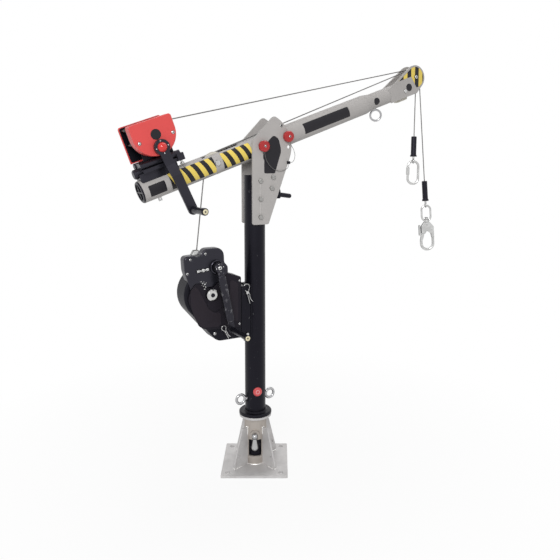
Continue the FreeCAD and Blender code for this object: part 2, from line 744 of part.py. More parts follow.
def make_push_handle():
    droop = math.radians(HANDLE_DROOP)
    heading = Vector(math.cos(droop), 0, -math.sin(droop))
    root = Vector(BLOCK_FRONT - HANDLE_SEAT, 0, HANDLE_Z)
    waist = root + heading * HANDLE_ROOT_LENGTH
    taper = Part.makeCone(HANDLE_ROOT_D / 2, HANDLE_D / 2, HANDLE_ROOT_LENGTH, root, heading)
    end = root + heading * (HANDLE_LENGTH - HANDLE_D / 2)
    grip = rod(waist, end, HANDLE_D)
    tip = Part.makeSphere(HANDLE_D / 2, end)
    return taper.fuse([grip, tip]).cut(make_handle_block())


def cross_holes_in_boom():
    return [cross_bar(along, 0, PIN_D, -TUBE_OD, TUBE_OD)
            for along in (PIVOT_ALONG, PIVOT_ALONG + LOCK_RADIUS)]


def rope_exit_along():
    """Place along the boom where the retriever rope passes its underside."""
    wheel = boom_point(BOOM_SHEAVE_ALONG, BOOM_SHEAVE_RISE)
    _, up = retriever_rope_start()
    touch = BOOM_PLACE.inverse().multVec(wheel + left_of(up) * SHEAVE_PITCH_R)
    way = BOOM_PLACE.Rotation.inverted().multVec(up)
    return touch.x - way.x / way.z * (touch.z + TUBE_OD / 2)


def make_boom_tube():
    boom = turned_about_x((
        (BOOM_REAR, TUBE_BORE / 2), (BOOM_REAR, TUBE_OD / 2),
        (BOOM_FRONT, TUBE_OD / 2), (BOOM_FRONT, TUBE_BORE / 2)))
    slot_half = SHEAVE_RIM_WIDTH / 2 + SHEAVE_CLEARANCE
    slot_reach = SHEAVE_RIM_R + SHEAVE_CLEARANCE
    sheave_slot = block(BOOM_SHEAVE_ALONG - slot_reach, BOOM_SHEAVE_ALONG + slot_reach,
                        -ROPE_SIDE - slot_half, -ROPE_SIDE + slot_half, -TUBE_OD, TUBE_OD)
    rope_slot = block(BOOM_SHEAVE_ALONG, ROPE_SLOT_END,
                      -ROPE_SIDE - slot_half, -ROPE_SIDE + slot_half, 0, TUBE_OD)
    exit_slot = block(rope_exit_along() - ROPE_D / 2 - ROPE_CLEARANCE, BOOM_SHEAVE_ALONG,
                      -ROPE_SIDE - slot_half, -ROPE_SIDE + slot_half, -TUBE_OD, 0)
    axle_hole = cross_bar(BOOM_SHEAVE_ALONG, BOOM_SHEAVE_RISE, AXLE_D, -TUBE_OD, TUBE_OD)
    return on_boom(boom.cut(cross_holes_in_boom() + [sheave_slot, rope_slot, exit_slot, axle_hole]))


def make_boom_nose():
    cone_end = BOOM_FRONT + CONE_LENGTH
    nose = turned_about_x((
        (BOOM_FRONT - NOSE_SPIGOT, NOSE_BORE / 2), (BOOM_FRONT - NOSE_SPIGOT, TUBE_BORE / 2),
        (BOOM_FRONT, TUBE_BORE / 2), (BOOM_FRONT, TUBE_OD / 2), (cone_end, NOSE_OD / 2),
        (NOSE_END, NOSE_OD / 2), (NOSE_END, NOSE_BORE / 2)))
    for side in (-1, 1):
        y_low, y_high = sorted((side * CHEEK_INNER, side * NOSE_OD))
        nose = nose.cut(block(CHEEK_START, NOSE_END, y_low, y_high, -NOSE_OD, NOSE_OD))
    return on_boom(nose)


def make_boom_end_cap():
    face = BOOM_REAR - CAP_RIM
    rim = TUBE_OD / 2 - CAP_STEP
    floor = face + CAP_RECESS
    hollow = rim - CAP_ROUND - CAP_WALL
    cap = turned_about_x((
        (floor, 0), (floor, hollow), (face, hollow), (face, rim - CAP_ROUND), (face + CAP_ROUND, rim),
        (BOOM_REAR, rim), (BOOM_REAR, TUBE_BORE / 2), (BOOM_REAR + CAP_PLUG, TUBE_BORE / 2),
        (BOOM_REAR + CAP_PLUG, 0)))
    half = CAP_RIB / 2
    ribs = [block(face, floor, -half, half, -hollow, hollow),
            block(face, floor, -hollow, hollow, -half, half)]
    return on_boom(cap.fuse(ribs).removeSplitter())


def make_tip_cheek(y_low, y_high):
    axle = Vector(TIP_ALONG, 0, TIP_RISE)

    def on_rim(angle):
        return axle + Vector(CHEEK_R * math.cos(angle), 0, CHEEK_R * math.sin(angle))

    def touch_angle(point, side):
        away = point.sub(axle)
        return math.atan2(away.z, away.x) + side * math.acos(CHEEK_R / away.Length)

    top = Vector(CHEEK_START, 0, CHEEK_START_TOP)
    bottom = Vector(CHEEK_START, 0, CHEEK_BOTTOM)
    bottom_end = Vector(CHEEK_BOTTOM_END, 0, CHEEK_BOTTOM)
    arc_start = touch_angle(top, -1)
    arc_end = touch_angle(bottom_end, 1)
    if arc_start < arc_end:
        arc_start += 2 * math.pi
    edges = [
        Part.LineSegment(bottom, top).toShape(),
        Part.LineSegment(top, on_rim(arc_start)).toShape(),
        Part.Arc(on_rim(arc_start), on_rim((arc_start + arc_end) / 2), on_rim(arc_end)).toShape(),
        Part.LineSegment(on_rim(arc_end), bottom_end).toShape(),
        Part.LineSegment(bottom_end, bottom).toShape()]
    cheek = extrude_outline(edges, y_low, y_high)
    cheek = cheek.cut(cross_bar(TIP_ALONG, TIP_RISE, AXLE_D, y_low, y_high))
    cheek = cheek.cut(cross_bar(TIP_BOLT_ALONG, TIP_BOLT_RISE, TIP_BOLT_D, y_low, y_high))
    return on_boom(cheek)


def make_sheave(along, rise, side):
    """Grooved rope wheel on one side of the boom's middle plane."""
    y_hub = sorted((0, side * CHEEK_INNER))
    middle = side * ROPE_SIDE
    rim_half = SHEAVE_RIM_WIDTH / 2
    web_half = SHEAVE_WEB_WIDTH / 2
    groove_r = SHEAVE_PITCH_R - ROPE_D / 2
    inner_rim_r = groove_r - SHEAVE_RIM_DEPTH
    hub_r = SHEAVE_HUB_D / 2
    profile = (
        (AXLE_D / 2, y_hub[0]), (hub_r, y_hub[0]), (hub_r, middle - web_half),
        (inner_rim_r, middle - web_half), (inner_rim_r, middle - rim_half), (SHEAVE_RIM_R, middle - rim_half),
        (groove_r, middle - ROPE_D / 2), (groove_r, middle + ROPE_D / 2),
        (SHEAVE_RIM_R, middle + rim_half), (inner_rim_r, middle + rim_half), (inner_rim_r, middle + web_half),
        (hub_r, middle + web_half), (hub_r, y_hub[1]), (AXLE_D / 2, y_hub[1]))
    return on_boom(turned_about_cross_axis(along, rise, profile))


def make_rope_sheaves():
    tip_pair = [make_sheave(TIP_ALONG, TIP_RISE, side) for side in (-1, 1)]
    return Part.makeCompound(tip_pair + [make_sheave(BOOM_SHEAVE_ALONG, BOOM_SHEAVE_RISE, -1)])


def make_axle(along, rise, half_length):
    bar = cross_bar(along, rise, AXLE_D, -half_length, half_length)
    near = cross_bar(along, rise, AXLE_HEAD_D, -half_length - AXLE_HEAD, -half_length)
    far = cross_bar(along, rise, AXLE_HEAD_D, half_length, half_length + AXLE_HEAD)
    return on_boom(bar.fuse([near, far]))


def make_sheave_axles():
    return Part.makeCompound([make_axle(TIP_ALONG, TIP_RISE, CHEEK_OUTER),
                              make_axle(BOOM_SHEAVE_ALONG, BOOM_SHEAVE_RISE, TUBE_OD / 2)])


def make_tip_bolt():
    bar = cross_bar(TIP_BOLT_ALONG, TIP_BOLT_RISE, TIP_BOLT_D, -CHEEK_OUTER, CHEEK_OUTER)
    end = CHEEK_OUTER + TIP_BOLT_HEAD
    near = hexagon(TIP_BOLT_ALONG, TIP_BOLT_RISE, TIP_BOLT_HEAD_FLATS, -end, -CHEEK_OUTER)
    far = hexagon(TIP_BOLT_ALONG, TIP_BOLT_RISE, TIP_BOLT_HEAD_FLATS, CHEEK_OUTER, end)
    return on_boom(bar.fuse([near, far]))


def make_tip_guard():
    seat = -NOSE_OD / 2 + GUARD_SEAT
    low = -NOSE_OD / 2 - GUARD_DEPTH
    end = GUARD_START + GUARD_LENGTH
    outline = ((GUARD_START, seat), (GUARD_START + GUARD_END_SLOPE, low),
               (end - GUARD_END_SLOPE, low), (end, seat))
    guard = prism(outline, -GUARD_WIDTH / 2, GUARD_WIDTH / 2)
    nose = rod(Vector(CHEEK_START, 0, 0), Vector(end, 0, 0), NOSE_OD)
    return on_boom(guard.cut(nose))


def make_anchor_eye():
    nose = rod(Vector(BOOM_FRONT, 0, 0), Vector(NOSE_END, 0, 0), NOSE_OD)
    nut_foot = Vector(ANCHOR_ALONG, 0, -NOSE_OD / 2 - ANCHOR_NUT)
    ring_z = -NOSE_OD / 2 - ANCHOR_SHANK - ANCHOR_OD / 2 + ANCHOR_WIRE_D / 2
    facing = Rotation(ALONG_Z, HOOK_TURN).multVec(ALONG_Y)
    ring = Part.makeTorus((ANCHOR_OD - ANCHOR_WIRE_D) / 2, ANCHOR_WIRE_D / 2,
                          Vector(ANCHOR_ALONG, 0, ring_z), facing)
    shank_end = Vector(ANCHOR_ALONG, 0, ring_z + ANCHOR_OD / 2 - ANCHOR_WIRE_D / 2)
    shank = rod(Vector(ANCHOR_ALONG, 0, 0), shank_end, ANCHOR_SHANK_D)
    nut = rod(Vector(ANCHOR_ALONG, 0, 0), nut_foot, ANCHOR_NUT_D)
    return on_boom(ring.fuse([shank, nut]).cut(nose))


def make_rear_lug():
    boom = rod(Vector(BOOM_REAR, 0, 0), Vector(0, 0, 0), TUBE_OD)
    low = -TUBE_OD / 2 - LUG_SIZE
    lug = block(LUG_ALONG - LUG_SIZE / 2, LUG_ALONG + LUG_SIZE / 2,
                -LUG_THICKNESS / 2, LUG_THICKNESS / 2, low, 0)
    hole = cross_bar(LUG_ALONG, low + LUG_SIZE / 2, LUG_HOLE_D, -LUG_THICKNESS, LUG_THICKNESS)
    return on_boom(lug.cut([boom, hole]))


def make_winch_saddle():
    boom = rod(Vector(BOOM_REAR, 0, 0), Vector(0, 0, 0), TUBE_OD)
    half = SADDLE_WIDTH / 2
    body = block(SADDLE_REAR, SADDLE_FRONT, -half, half, SADDLE_SEAT, SADDLE_TOP)
    body = round_upright_edges(body, SADDLE_ROUND, ALONG_Z)
    return on_boom(body.cut(boom))


def make_winch_base():
    half = WINCH_BASE_WIDTH / 2
    waist = WINCH_BASE_WAIST / 2
    bar_half = CROSS_BAR_LENGTH / 2
    rail_y = half - RAIL_D / 2 - RAIL_SIDE_GAP
    rail_rise = WINCH_BASE_TOP - RAIL_D / 2
    rail_rear = WINCH_BASE_REAR - RAIL_OVERHANG
    rail_front = WINCH_BASE_FRONT + RAIL_FRONT_OVERHANG
    front_half = FRONT_BAR_SIZE / 2
    body = block(WINCH_BASE_REAR, WINCH_BASE_FRONT, -waist, waist, SADDLE_TOP, WINCH_BASE_TOP)
    foot = block(WINCH_BASE_REAR, FRONT_BAR_ALONG, -half, half, SADDLE_TOP, SADDLE_TOP + WINCH_FOOT_PLATE)
    rails = []
    for y in (-rail_y, rail_y):
        rails.append(rod(Vector(rail_rear, y, rail_rise), Vector(rail_front, y, rail_rise), RAIL_D))
    front_bar = block(FRONT_BAR_ALONG - front_half, FRONT_BAR_ALONG + front_half, -bar_half, bar_half,
                      FRONT_BAR_RISE - front_half, FRONT_BAR_RISE + front_half)
    return on_boom(body.fuse([foot, winch_socket(), front_bar] + rails))


def winch_socket():
    """Round rear end of the winch's base, which overhangs the saddle."""
    radius = SOCKET_D / 2
    socket = turned_about_x((
        (SOCKET_REAR, 0), (SOCKET_REAR, radius - SOCKET_ROUND), (SOCKET_REAR + SOCKET_ROUND, radius),
        (WINCH_BASE_REAR, radius), (WINCH_BASE_REAR, 0)))
    socket.translate(Vector(0, 0, SOCKET_RISE))
    return socket.cut(block(SADDLE_REAR, WINCH_BASE_REAR, -SADDLE_WIDTH, SADDLE_WIDTH, 0, SADDLE_TOP))


def cover_outline(radius, top):
    """D shape with a flat top, as (edges, corner points)."""
    centre = Vector(COVER_CENTRE_ALONG, 0, COVER_CENTRE_RISE)
    left = centre + Vector(-radius, 0, top - COVER_CENTRE_RISE)
    right = centre + Vector(radius, 0, top - COVER_CENTRE_RISE)
    left_low = centre + Vector(-radius, 0, 0)
    right_low = centre + Vector(radius, 0, 0)
    bottom = centre + Vector(0, 0, -radius)
    edges = [
        Part.LineSegment(left, right).toShape(),
        Part.LineSegment(right, right_low).toShape(),
        Part.Arc(right_low, bottom, left_low).toShape(),
        Part.LineSegment(left_low, left).toShape()]
    return edges, ((left.x, left.z), (right.x, right.z))


def make_winch_cover():
    edges, corners = cover_outline(COVER_R, COVER_TOP)
    shell = extrude_outline(edges, COVER_NEAR, NEAR_PLATE_FACE)
    shell = round_upright_edges(shell, COVER_CORNER_R, ALONG_Y, corners)
    shell = round_rim(shell, COVER_ROUND, COVER_NEAR)
    inner_edges, inner_corners = cover_outline(COVER_R - COVER_WALL, COVER_TOP - COVER_WALL)
    hollow = extrude_outline(inner_edges, COVER_NEAR + COVER_WALL, NEAR_PLATE_FACE)
    hollow = round_upright_edges(hollow, COVER_CORNER_R - COVER_WALL, ALONG_Y, inner_corners)
    shaft_hole = cross_bar(WINCH_CRANK_ALONG, WINCH_CRANK_RISE,
                           WINCH_SHAFT_D + 2 * WINCH_SHAFT_CLEARANCE, COVER_NEAR, NEAR_PLATE_FACE)
    screw_seats = [cross_bar(along, rise, COVER_SCREW_D, COVER_NEAR, COVER_NEAR + COVER_SCREW_RECESS)
                   for along, rise in COVER_SCREWS]
    return on_boom(shell.cut([hollow, shaft_hole] + screw_seats))


def make_winch_near_plate():
    back = NEAR_PLATE_FACE + SIDE_PLATE
    edges, corners = cover_outline(COVER_R, COVER_TOP)
    plate = extrude_outline(edges, NEAR_PLATE_FACE, back)
    plate = round_upright_edges(plate, COVER_CORNER_R, ALONG_Y, corners)
    foot = block(COVER_CENTRE_ALONG - NEAR_PLATE_FOOT_HALF, COVER_CENTRE_ALONG + NEAR_PLATE_FOOT_HALF,
                 NEAR_PLATE_FACE, back, WINCH_BASE_TOP, COVER_CENTRE_RISE)
    hole = cross_bar(DRUM_ALONG, DRUM_RISE, DRUM_SHAFT_D, NEAR_PLATE_FACE, back)
    return on_boom(plate.fuse(foot).removeSplitter().cut(hole))


def make_winch_far_plate():
    back = FAR_PLATE_FACE + SIDE_PLATE
    plate = prism(((FAR_PLATE_REAR, WINCH_BASE_TOP), (FAR_PLATE_FRONT, WINCH_BASE_TOP),
                   (FAR_PLATE_FRONT, FAR_PLATE_TOP), (FAR_PLATE_REAR, FAR_PLATE_TOP)), FAR_PLATE_FACE, back)
    plate = round_upright_edges(plate, FAR_PLATE_CORNER_R, ALONG_Y,
                                ((FAR_PLATE_REAR, FAR_PLATE_TOP), (FAR_PLATE_FRONT, FAR_PLATE_TOP)))
    foot = block(FAR_PLATE_REAR + FAR_FOOT_MARGIN, FAR_PLATE_FRONT - FAR_FOOT_MARGIN,
                 WINCH_BASE_WIDTH / 2, back, SADDLE_TOP, WINCH_BASE_TOP)
    hole = cross_bar(DRUM_ALONG, DRUM_RISE, DRUM_SHAFT_D, FAR_PLATE_FACE, back)
    return on_boom(plate.fuse(foot).removeSplitter().cut(hole))


def make_winch_spacers():
    near = NEAR_PLATE_FACE + SIDE_PLATE
    return Part.makeCompound([on_boom(cross_bar(along, rise, SPACER_D, near, FAR_PLATE_FACE))
                              for along, rise in SPACER_PLACES])


def make_winch_drum():
    near = NEAR_PLATE_FACE + SIDE_PLATE
    near_in = near + DRUM_END_GAP
    far_in = FAR_PLATE_FACE - DRUM_END_GAP
    shaft_r = DRUM_SHAFT_D / 2
    drum = turned_about_cross_axis(DRUM_ALONG, DRUM_RISE, (
        (0, NEAR_PLATE_FACE), (shaft_r, NEAR_PLATE_FACE), (shaft_r, near_in), (DRUM_FLANGE_R, near_in),
        (DRUM_FLANGE_R, near_in + DRUM_FLANGE), (DRUM_ROPE_R, near_in + DRUM_FLANGE),
        (DRUM_ROPE_R, far_in - DRUM_FLANGE), (DRUM_FLANGE_R, far_in - DRUM_FLANGE), (DRUM_FLANGE_R, far_in),
        (shaft_r, far_in), (shaft_r, FAR_PLATE_FACE + SIDE_PLATE), (0, FAR_PLATE_FACE + SIDE_PLATE)))
    return on_boom(drum)


def winch_crank_line():
    """Pivot of the winch crank, and the way its arm points."""
    pivot = boom_point(WINCH_CRANK_ALONG, WINCH_CRANK_RISE)
    lean = math.radians(WINCH_CRANK_ANGLE)
    return pivot, Vector(math.sin(lean), 0, -math.cos(lean))


def flat_arm(pivot, end, width, y_low, y_high):
    """Flat crank arm with round ends."""
    along = end.sub(pivot).normalize()
    side = Vector(-along.z, 0, along.x) * (width / 2)
    outline = [(p.x, p.z) for p in (pivot + side, end + side, end - side, pivot - side)]
    arm = prism(outline, y_low, y_high)
    ends = [cross_bar(c.x, c.z, width, y_low, y_high) for c in (pivot, end)]
    return arm.fuse(ends).removeSplitter()


def joggled_arm(pivot, heading, outer, inner):
    """Flat crank arm whose lower length stands further out than its upper length."""
    reach = WINCH_CRANK_LENGTH + WINCH_ARM_WIDTH
    side = left_of(heading) * WINCH_ARM_WIDTH
    low_inner = inner - WINCH_JOGGLE
    low_outer = outer - WINCH_JOGGLE
    bent = [(-WINCH_ARM_WIDTH, inner), (WINCH_JOGGLE_START, inner), (WINCH_JOGGLE_END, low_inner),
            (reach, low_inner), (reach, low_outer), (WINCH_JOGGLE_END, low_outer),
            (WINCH_JOGGLE_START, outer), (-WINCH_ARM_WIDTH, outer)]
    corners = [pivot + heading * along + Vector(0, y, 0) - side for along, y in bent]
    strip = Part.Face(Part.makePolygon(corners + corners[:1])).extrude(side * 2)
    end = pivot + heading * WINCH_CRANK_LENGTH
    return flat_arm(pivot, end, WINCH_ARM_WIDTH, low_outer, inner).common(strip)


def make_winch_crank_arm():
    pivot, heading = winch_crank_line()
    outer = WINCH_ARM_FACE - WINCH_ARM_THICKNESS
    arm = joggled_arm(pivot, heading, outer, WINCH_ARM_FACE)
    boss = cross_bar(pivot.x, pivot.z, WINCH_BOSS_D, outer, WINCH_BOSS_FACE)
    shaft = cross_bar(pivot.x, pivot.z, WINCH_SHAFT_D, outer, NEAR_PLATE_FACE - WINCH_SHAFT_END_GAP)
    return arm.fuse([boss, shaft])


def make_winch_crank_cap():
    pivot, _ = winch_crank_line()
    seat = WINCH_ARM_FACE - WINCH_ARM_THICKNESS
    half = WINCH_CAP_D / 2
    radius = (half ** 2 + WINCH_CAP_HEIGHT ** 2) / (2 * WINCH_CAP_HEIGHT)
    foot = Vector(pivot.x, seat, pivot.z)
    top = foot + Vector(0, -WINCH_CAP_HEIGHT, 0)
    rim = foot + Vector(half, 0, 0)
    centre = top + Vector(0, radius, 0)
    bulge = (top.sub(centre) + rim.sub(centre)).normalize()
    outline = Part.Wire([
        Part.LineSegment(foot, top).toShape(),
        Part.Arc(top, centre + bulge * radius, rim).toShape(),
        Part.LineSegment(rim, foot).toShape()])
    return Part.Face(outline).revolve(foot, ALONG_Y, 360)


def hand_grip(x, z, seat, length, end_d, waist_d):
    """Round hand grip that points to the near side and is a little thinner in the middle."""
    end = end_d / 2
    waist = waist_d / 2
    return turned_about_cross_axis(x, z, (
        (0, seat), (end, seat), (end, seat - length / 8), (waist, seat - length / 2),
        (end, seat - length * 7 / 8), (end, seat - length + GRIP_ROUND), (end - GRIP_ROUND, seat - length),
        (0, seat - length)))


def make_winch_crank_grip():
    pivot, heading = winch_crank_line()
    end = pivot + heading * WINCH_CRANK_LENGTH
    seat = WINCH_ARM_FACE - WINCH_ARM_THICKNESS - WINCH_JOGGLE
    return hand_grip(end.x, end.z, seat, WINCH_GRIP_LENGTH, WINCH_GRIP_D, WINCH_GRIP_WAIST_D)


def left_of(heading):
    """Direction square to a heading in the boom's plane, on its left as seen from the near side."""
    return Vector(-heading.z, 0, heading.x)


def heading_over(start, centre, radius):
    """Way a rope runs from a point so that it touches the upper side of a wheel."""
    to_centre = centre.sub(start)
    angle = math.atan2(to_centre.z, to_centre.x) + math.asin(radius / to_centre.Length)
    return Vector(math.cos(angle), 0, math.sin(angle))


def wheel_arc(centre, radius, heading_in, heading_out):
    """Arc of a rope that goes over a wheel from one heading to another."""
    into = centre + left_of(heading_in) * radius
    out = centre + left_of(heading_out) * radius
    middle_way = (left_of(heading_in) + left_of(heading_out)).normalize()
    return into, out, Part.Arc(into, centre + middle_way * radius, out).toShape()


def tail_heading(lean):
    angle = math.radians(lean)
    return Vector(math.sin(angle), 0, -math.cos(angle))


def tail_end(lean, stop_top):
    """Point on the tip wheel's outer side, carried down the leaning tail to a height."""
    heading = tail_heading(lean)
    leave = boom_point(TIP_ALONG, TIP_RISE) + left_of(heading) * SHEAVE_PITCH_R
    return leave + heading * ((leave.z - stop_top) / -heading.z)


def rope_line(edges, y):
    rope = pipe(edges, ROPE_D)
    rope.translate(Vector(0, y, 0))
    length = sum(edge.Length for edge in edges)
    section = math.pi * (ROPE_D / 2) ** 2
    print("rope length", round(length, 1), "volume ratio", round(rope.Volume / (section * length), 4))
    return rope


def make_hoist_rope():
    drum = boom_point(DRUM_ALONG, DRUM_RISE)
    tip = boom_point(TIP_ALONG, TIP_RISE)
    between = tip.sub(drum)
    drum_r = DRUM_ROPE_R + ROPE_D / 2
    angle = math.atan2(between.z, between.x) + math.asin((SHEAVE_PITCH_R - drum_r) / between.Length)
    heading = Vector(math.cos(angle), 0, math.sin(angle))
    start = drum + left_of(heading) * drum_r
    into, out, arc = wheel_arc(tip, SHEAVE_PITCH_R, heading, tail_heading(HOIST_TAIL_LEAN))
    end = tail_end(HOIST_TAIL_LEAN, HOIST_STOP_TOP)
    edges = [Part.LineSegment(start, into).toShape(), arc, Part.LineSegment(out, end).toShape()]
    return rope_line(edges, ROPE_SIDE)


def retriever_rope_start():
    """Nozzle point where the retriever rope starts, and its way up to the wheel in the boom."""
    wheel = boom_point(BOOM_SHEAVE_ALONG, BOOM_SHEAVE_RISE)
    nozzle = Vector(NOZZLE_X, 0, NOZZLE_Z)
    return nozzle, heading_over(nozzle, wheel, SHEAVE_PITCH_R)


def make_retriever_rope():
    wheel = boom_point(BOOM_SHEAVE_ALONG, BOOM_SHEAVE_RISE)
    tip = boom_point(TIP_ALONG, TIP_RISE)
    nozzle, up = retriever_rope_start()
    start = nozzle + up * (NOZZLE_LENGTH - NOZZLE_BORE_DEPTH)
    heading = tip.sub(wheel).normalize()
    first_in, first_out, first_arc = wheel_arc(wheel, SHEAVE_PITCH_R, up, heading)
    into, out, tip_arc = wheel_arc(tip, SHEAVE_PITCH_R, heading, tail_heading(RETRIEVER_TAIL_LEAN))
    end = tail_end(RETRIEVER_TAIL_LEAN, RETRIEVER_STOP_TOP)
    edges = [
        Part.LineSegment(start, first_in).toShape(), first_arc,
        Part.LineSegment(first_out, into).toShape(), tip_arc,
        Part.LineSegment(out, end).toShape()]
    return rope_line(edges, -ROPE_SIDE)


def hanging_place(lean, stop_top, side):
    """Frame at the top of a rope stop: Z runs back up the tail, and Y looks away from the near side."""
    top = tail_end(lean, stop_top) + Vector(0, side * ROPE_SIDE, 0)
    return Placement(top, Rotation(ALONG_Y, -lean).multiply(Rotation(ALONG_Z, HOOK_TURN)))


def hanging_places():
    return (hanging_place(HOIST_TAIL_LEAN, HOIST_STOP_TOP, 1),
            hanging_place(RETRIEVER_TAIL_LEAN, RETRIEVER_STOP_TOP, -1))


def make_rope_stops():
    foot = -STOP_LENGTH
    radius = STOP_D / 2
    rim = STOP_RIM_D / 2
    stop = turned_about_z((
        (0, 0), (radius - STOP_EDGE, 0), (radius, -STOP_EDGE), (radius, foot + STOP_RIM + STOP_FLARE),
        (rim, foot + STOP_RIM), (rim, foot), (0, foot)))
    return Part.makeCompound([placed(stop, place) for place in hanging_places()])


def make_rope_eyes():
    centre = Vector(0, 0, -STOP_LENGTH - ROPE_EYE_DROP)
    ring = Part.makeTorus(ROPE_EYE_R, ROPE_EYE_WIRE_D / 2, centre, Vector(1, 0, 0))
    shank = rod(Vector(0, 0, -STOP_LENGTH), centre + Vector(0, 0, ROPE_EYE_R), ROPE_EYE_SHANK_D)
    eye = shank.fuse(ring)
    return Part.makeCompound([placed(eye, place) for place in hanging_places()])


def link_top():
    """Height of the top of what hangs in a rope eye, on the middle of its rod."""
    return -STOP_LENGTH - ROPE_EYE_DROP - ROPE_EYE_R + ROPE_EYE_WIRE_D / 2 + HANG_GAP


def oval_link(length, width, rod_d):
    """Closed oval link in the plane y = 0, with the top of its rod's underside at z = 0."""
    bend_r = (width - rod_d) / 2
    top = Vector(0, 0, rod_d / 2 - bend_r)
    bottom = top + Vector(0, 0, -(length - width))
    aside = Vector(bend_r, 0, 0)
    over = Part.Arc(top - aside, top + Vector(0, 0, bend_r), top + aside).toShape()
    under = Part.Arc(bottom + aside, bottom - Vector(0, 0, bend_r), bottom - aside).toShape()
    legs = [rod(top + offset, bottom + offset, rod_d) for offset in (aside, aside * -1)]
    return pipe([over], rod_d).fuse([pipe([under], rod_d)] + legs)


def make_carabiner():
    link = oval_link(CARABINER_LENGTH, CARABINER_WIDTH, CARABINER_ROD_D)
    leg_x = -(CARABINER_WIDTH - CARABINER_ROD_D) / 2
    gate_top = CARABINER_ROD_D / 2 - CARABINER_WIDTH / 2
    sleeve = rod(Vector(leg_x, 0, gate_top), Vector(leg_x, 0, gate_top - SCREW_GATE_LENGTH), SCREW_GATE_D)
    link = link.fuse(sleeve)
    link.translate(Vector(0, 0, link_top()))
    return placed(link, hanging_places()[0])


def swivel_foot():
    """Height of the underside of the swivel link's boss."""
    return link_top() + LINK_ROD_D - LINK_LENGTH - SWIVEL_BOSS_DROP


def make_swivel_link():
    link = oval_link(LINK_LENGTH, LINK_WIDTH, LINK_ROD_D)
    link.translate(Vector(0, 0, link_top()))
    foot = Vector(0, 0, swivel_foot())
    boss = Part.makeCylinder(SWIVEL_BOSS_D / 2, SWIVEL_BOSS, foot)
    bore = Part.makeCylinder(SWIVEL_PIN_D / 2 + SWIVEL_PIN_GAP, 2 * SWIVEL_BOSS, foot)
    return placed(link.fuse(boss).cut(bore), hanging_places()[1])


def hook_body():
    """Flat forged body of the snap hook, with its top at z = 0."""
    half = HOOK_BODY_THICKNESS / 2
    body = extrude_outline(rounded_outline(HOOK_BODY_CORNERS), -half, half)
    return round_rim(round_rim(body, HOOK_BODY_ROUND, -half), HOOK_BODY_ROUND, half)


def hook_place():
    """Frame at the top of the snap hook's body."""
    drop = Placement(Vector(0, 0, swivel_foot() - SWIVEL_PIN_GAP), Rotation())
    return hanging_places()[1].multiply(drop)


def make_snap_hook():
    boss_top = SWIVEL_PIN_GAP + SWIVEL_BOSS
    pin = Part.makeCylinder(SWIVEL_PIN_D / 2, boss_top + SWIVEL_PIN_GAP)
    head = Part.makeCylinder(SWIVEL_HEAD_D / 2, SWIVEL_HEAD, Vector(0, 0, boss_top + SWIVEL_PIN_GAP))
    bowl = Vector(HOOK_BOWL_X, 0, -HOOK_BOWL_DROP)
    spine_foot = bowl + Vector(HOOK_BOWL_R, 0, 0)
    nose_foot = bowl + Vector(-HOOK_BOWL_R, 0, 0)
    spine_top = spine_foot + Vector(0, 0, HOOK_BOWL_DROP / 2)
    spine = rod(spine_foot, spine_top, HOOK_ROD_D)
    bend = pipe([Part.Arc(spine_foot, bowl + Vector(0, 0, -HOOK_BOWL_R), nose_foot).toShape()], HOOK_ROD_D)
    nose = rod(nose_foot, nose_foot + Vector(0, 0, HOOK_NOSE), HOOK_ROD_D)
    hook = hook_body().fuse([pin, head, spine, bend, nose])
    return placed(hook, hook_place())


def make_hook_gate():
    half = GATE_THICKNESS / 2
    gate = prism(GATE_CORNERS, -half, half).cut(hook_body())
    return placed(gate, hook_place())


def case_outline():
    """Round drum end, a straight run down to a small round foot lobe, and a flat front."""
    drum = Vector(RETRIEVER_X, 0, RETRIEVER_Z)
    lobe = Vector(LOBE_X, 0, LOBE_Z)
    between = lobe.sub(drum)
    side = math.atan2(between.z, between.x) - math.acos((CASE_R - LOBE_R) / between.Length)
    outward = Vector(math.cos(side), 0, math.sin(side))
    lobe_middle = (outward + Vector(0, 0, -1)).normalize()
    neck_reach = CASE_NECK_X - RETRIEVER_X
    neck = drum + Vector(neck_reach, 0, math.sqrt(CASE_R ** 2 - neck_reach ** 2))
    drum_rear = drum + Vector(-CASE_R, 0, 0)
    lobe_foot = lobe + Vector(0, 0, -LOBE_R)
    front_foot = Vector(CASE_FRONT, 0, lobe_foot.z)
    front_top = Vector(CASE_FRONT, 0, CASE_SHOULDER)
    edges = [
        Part.Arc(neck, drum_rear, drum + outward * CASE_R).toShape(),
        Part.LineSegment(drum + outward * CASE_R, lobe + outward * LOBE_R).toShape(),
        Part.Arc(lobe + outward * LOBE_R, lobe + lobe_middle * LOBE_R, lobe_foot).toShape(),
        Part.LineSegment(lobe_foot, front_foot).toShape(),
        Part.LineSegment(front_foot, front_top).toShape(),
        Part.LineSegment(front_top, neck).toShape()]
    return edges, ((front_foot.x, front_foot.z), (front_top.x, front_top.z))


def case_block():
    """Housing of the retrieval block before its rims are rounded."""
    edges, corners = case_outline()
    return round_upright_edges(extrude_outline(edges, CASE_NEAR, CASE_FAR), CASE_CORNER_R, ALONG_Y, corners)


def make_retriever_case():
    rounded = round_rim(round_rim(case_block(), CASE_ROUND, CASE_FAR), CASE_ROUND / 2, CASE_NEAR)
    return rounded.cut(crank_hole())


def head_block():
    """Lobed head of the retrieval block, over the top of its housing."""
    head = extrude_outline(rounded_outline(HEAD_CORNERS), HEAD_NEAR, HEAD_FAR)
    head = round_rim(round_rim(head, HEAD_ROUND, HEAD_NEAR), HEAD_FAR_ROUND, HEAD_FAR)
    return head.cut([case_block(), make_retriever_cover()])


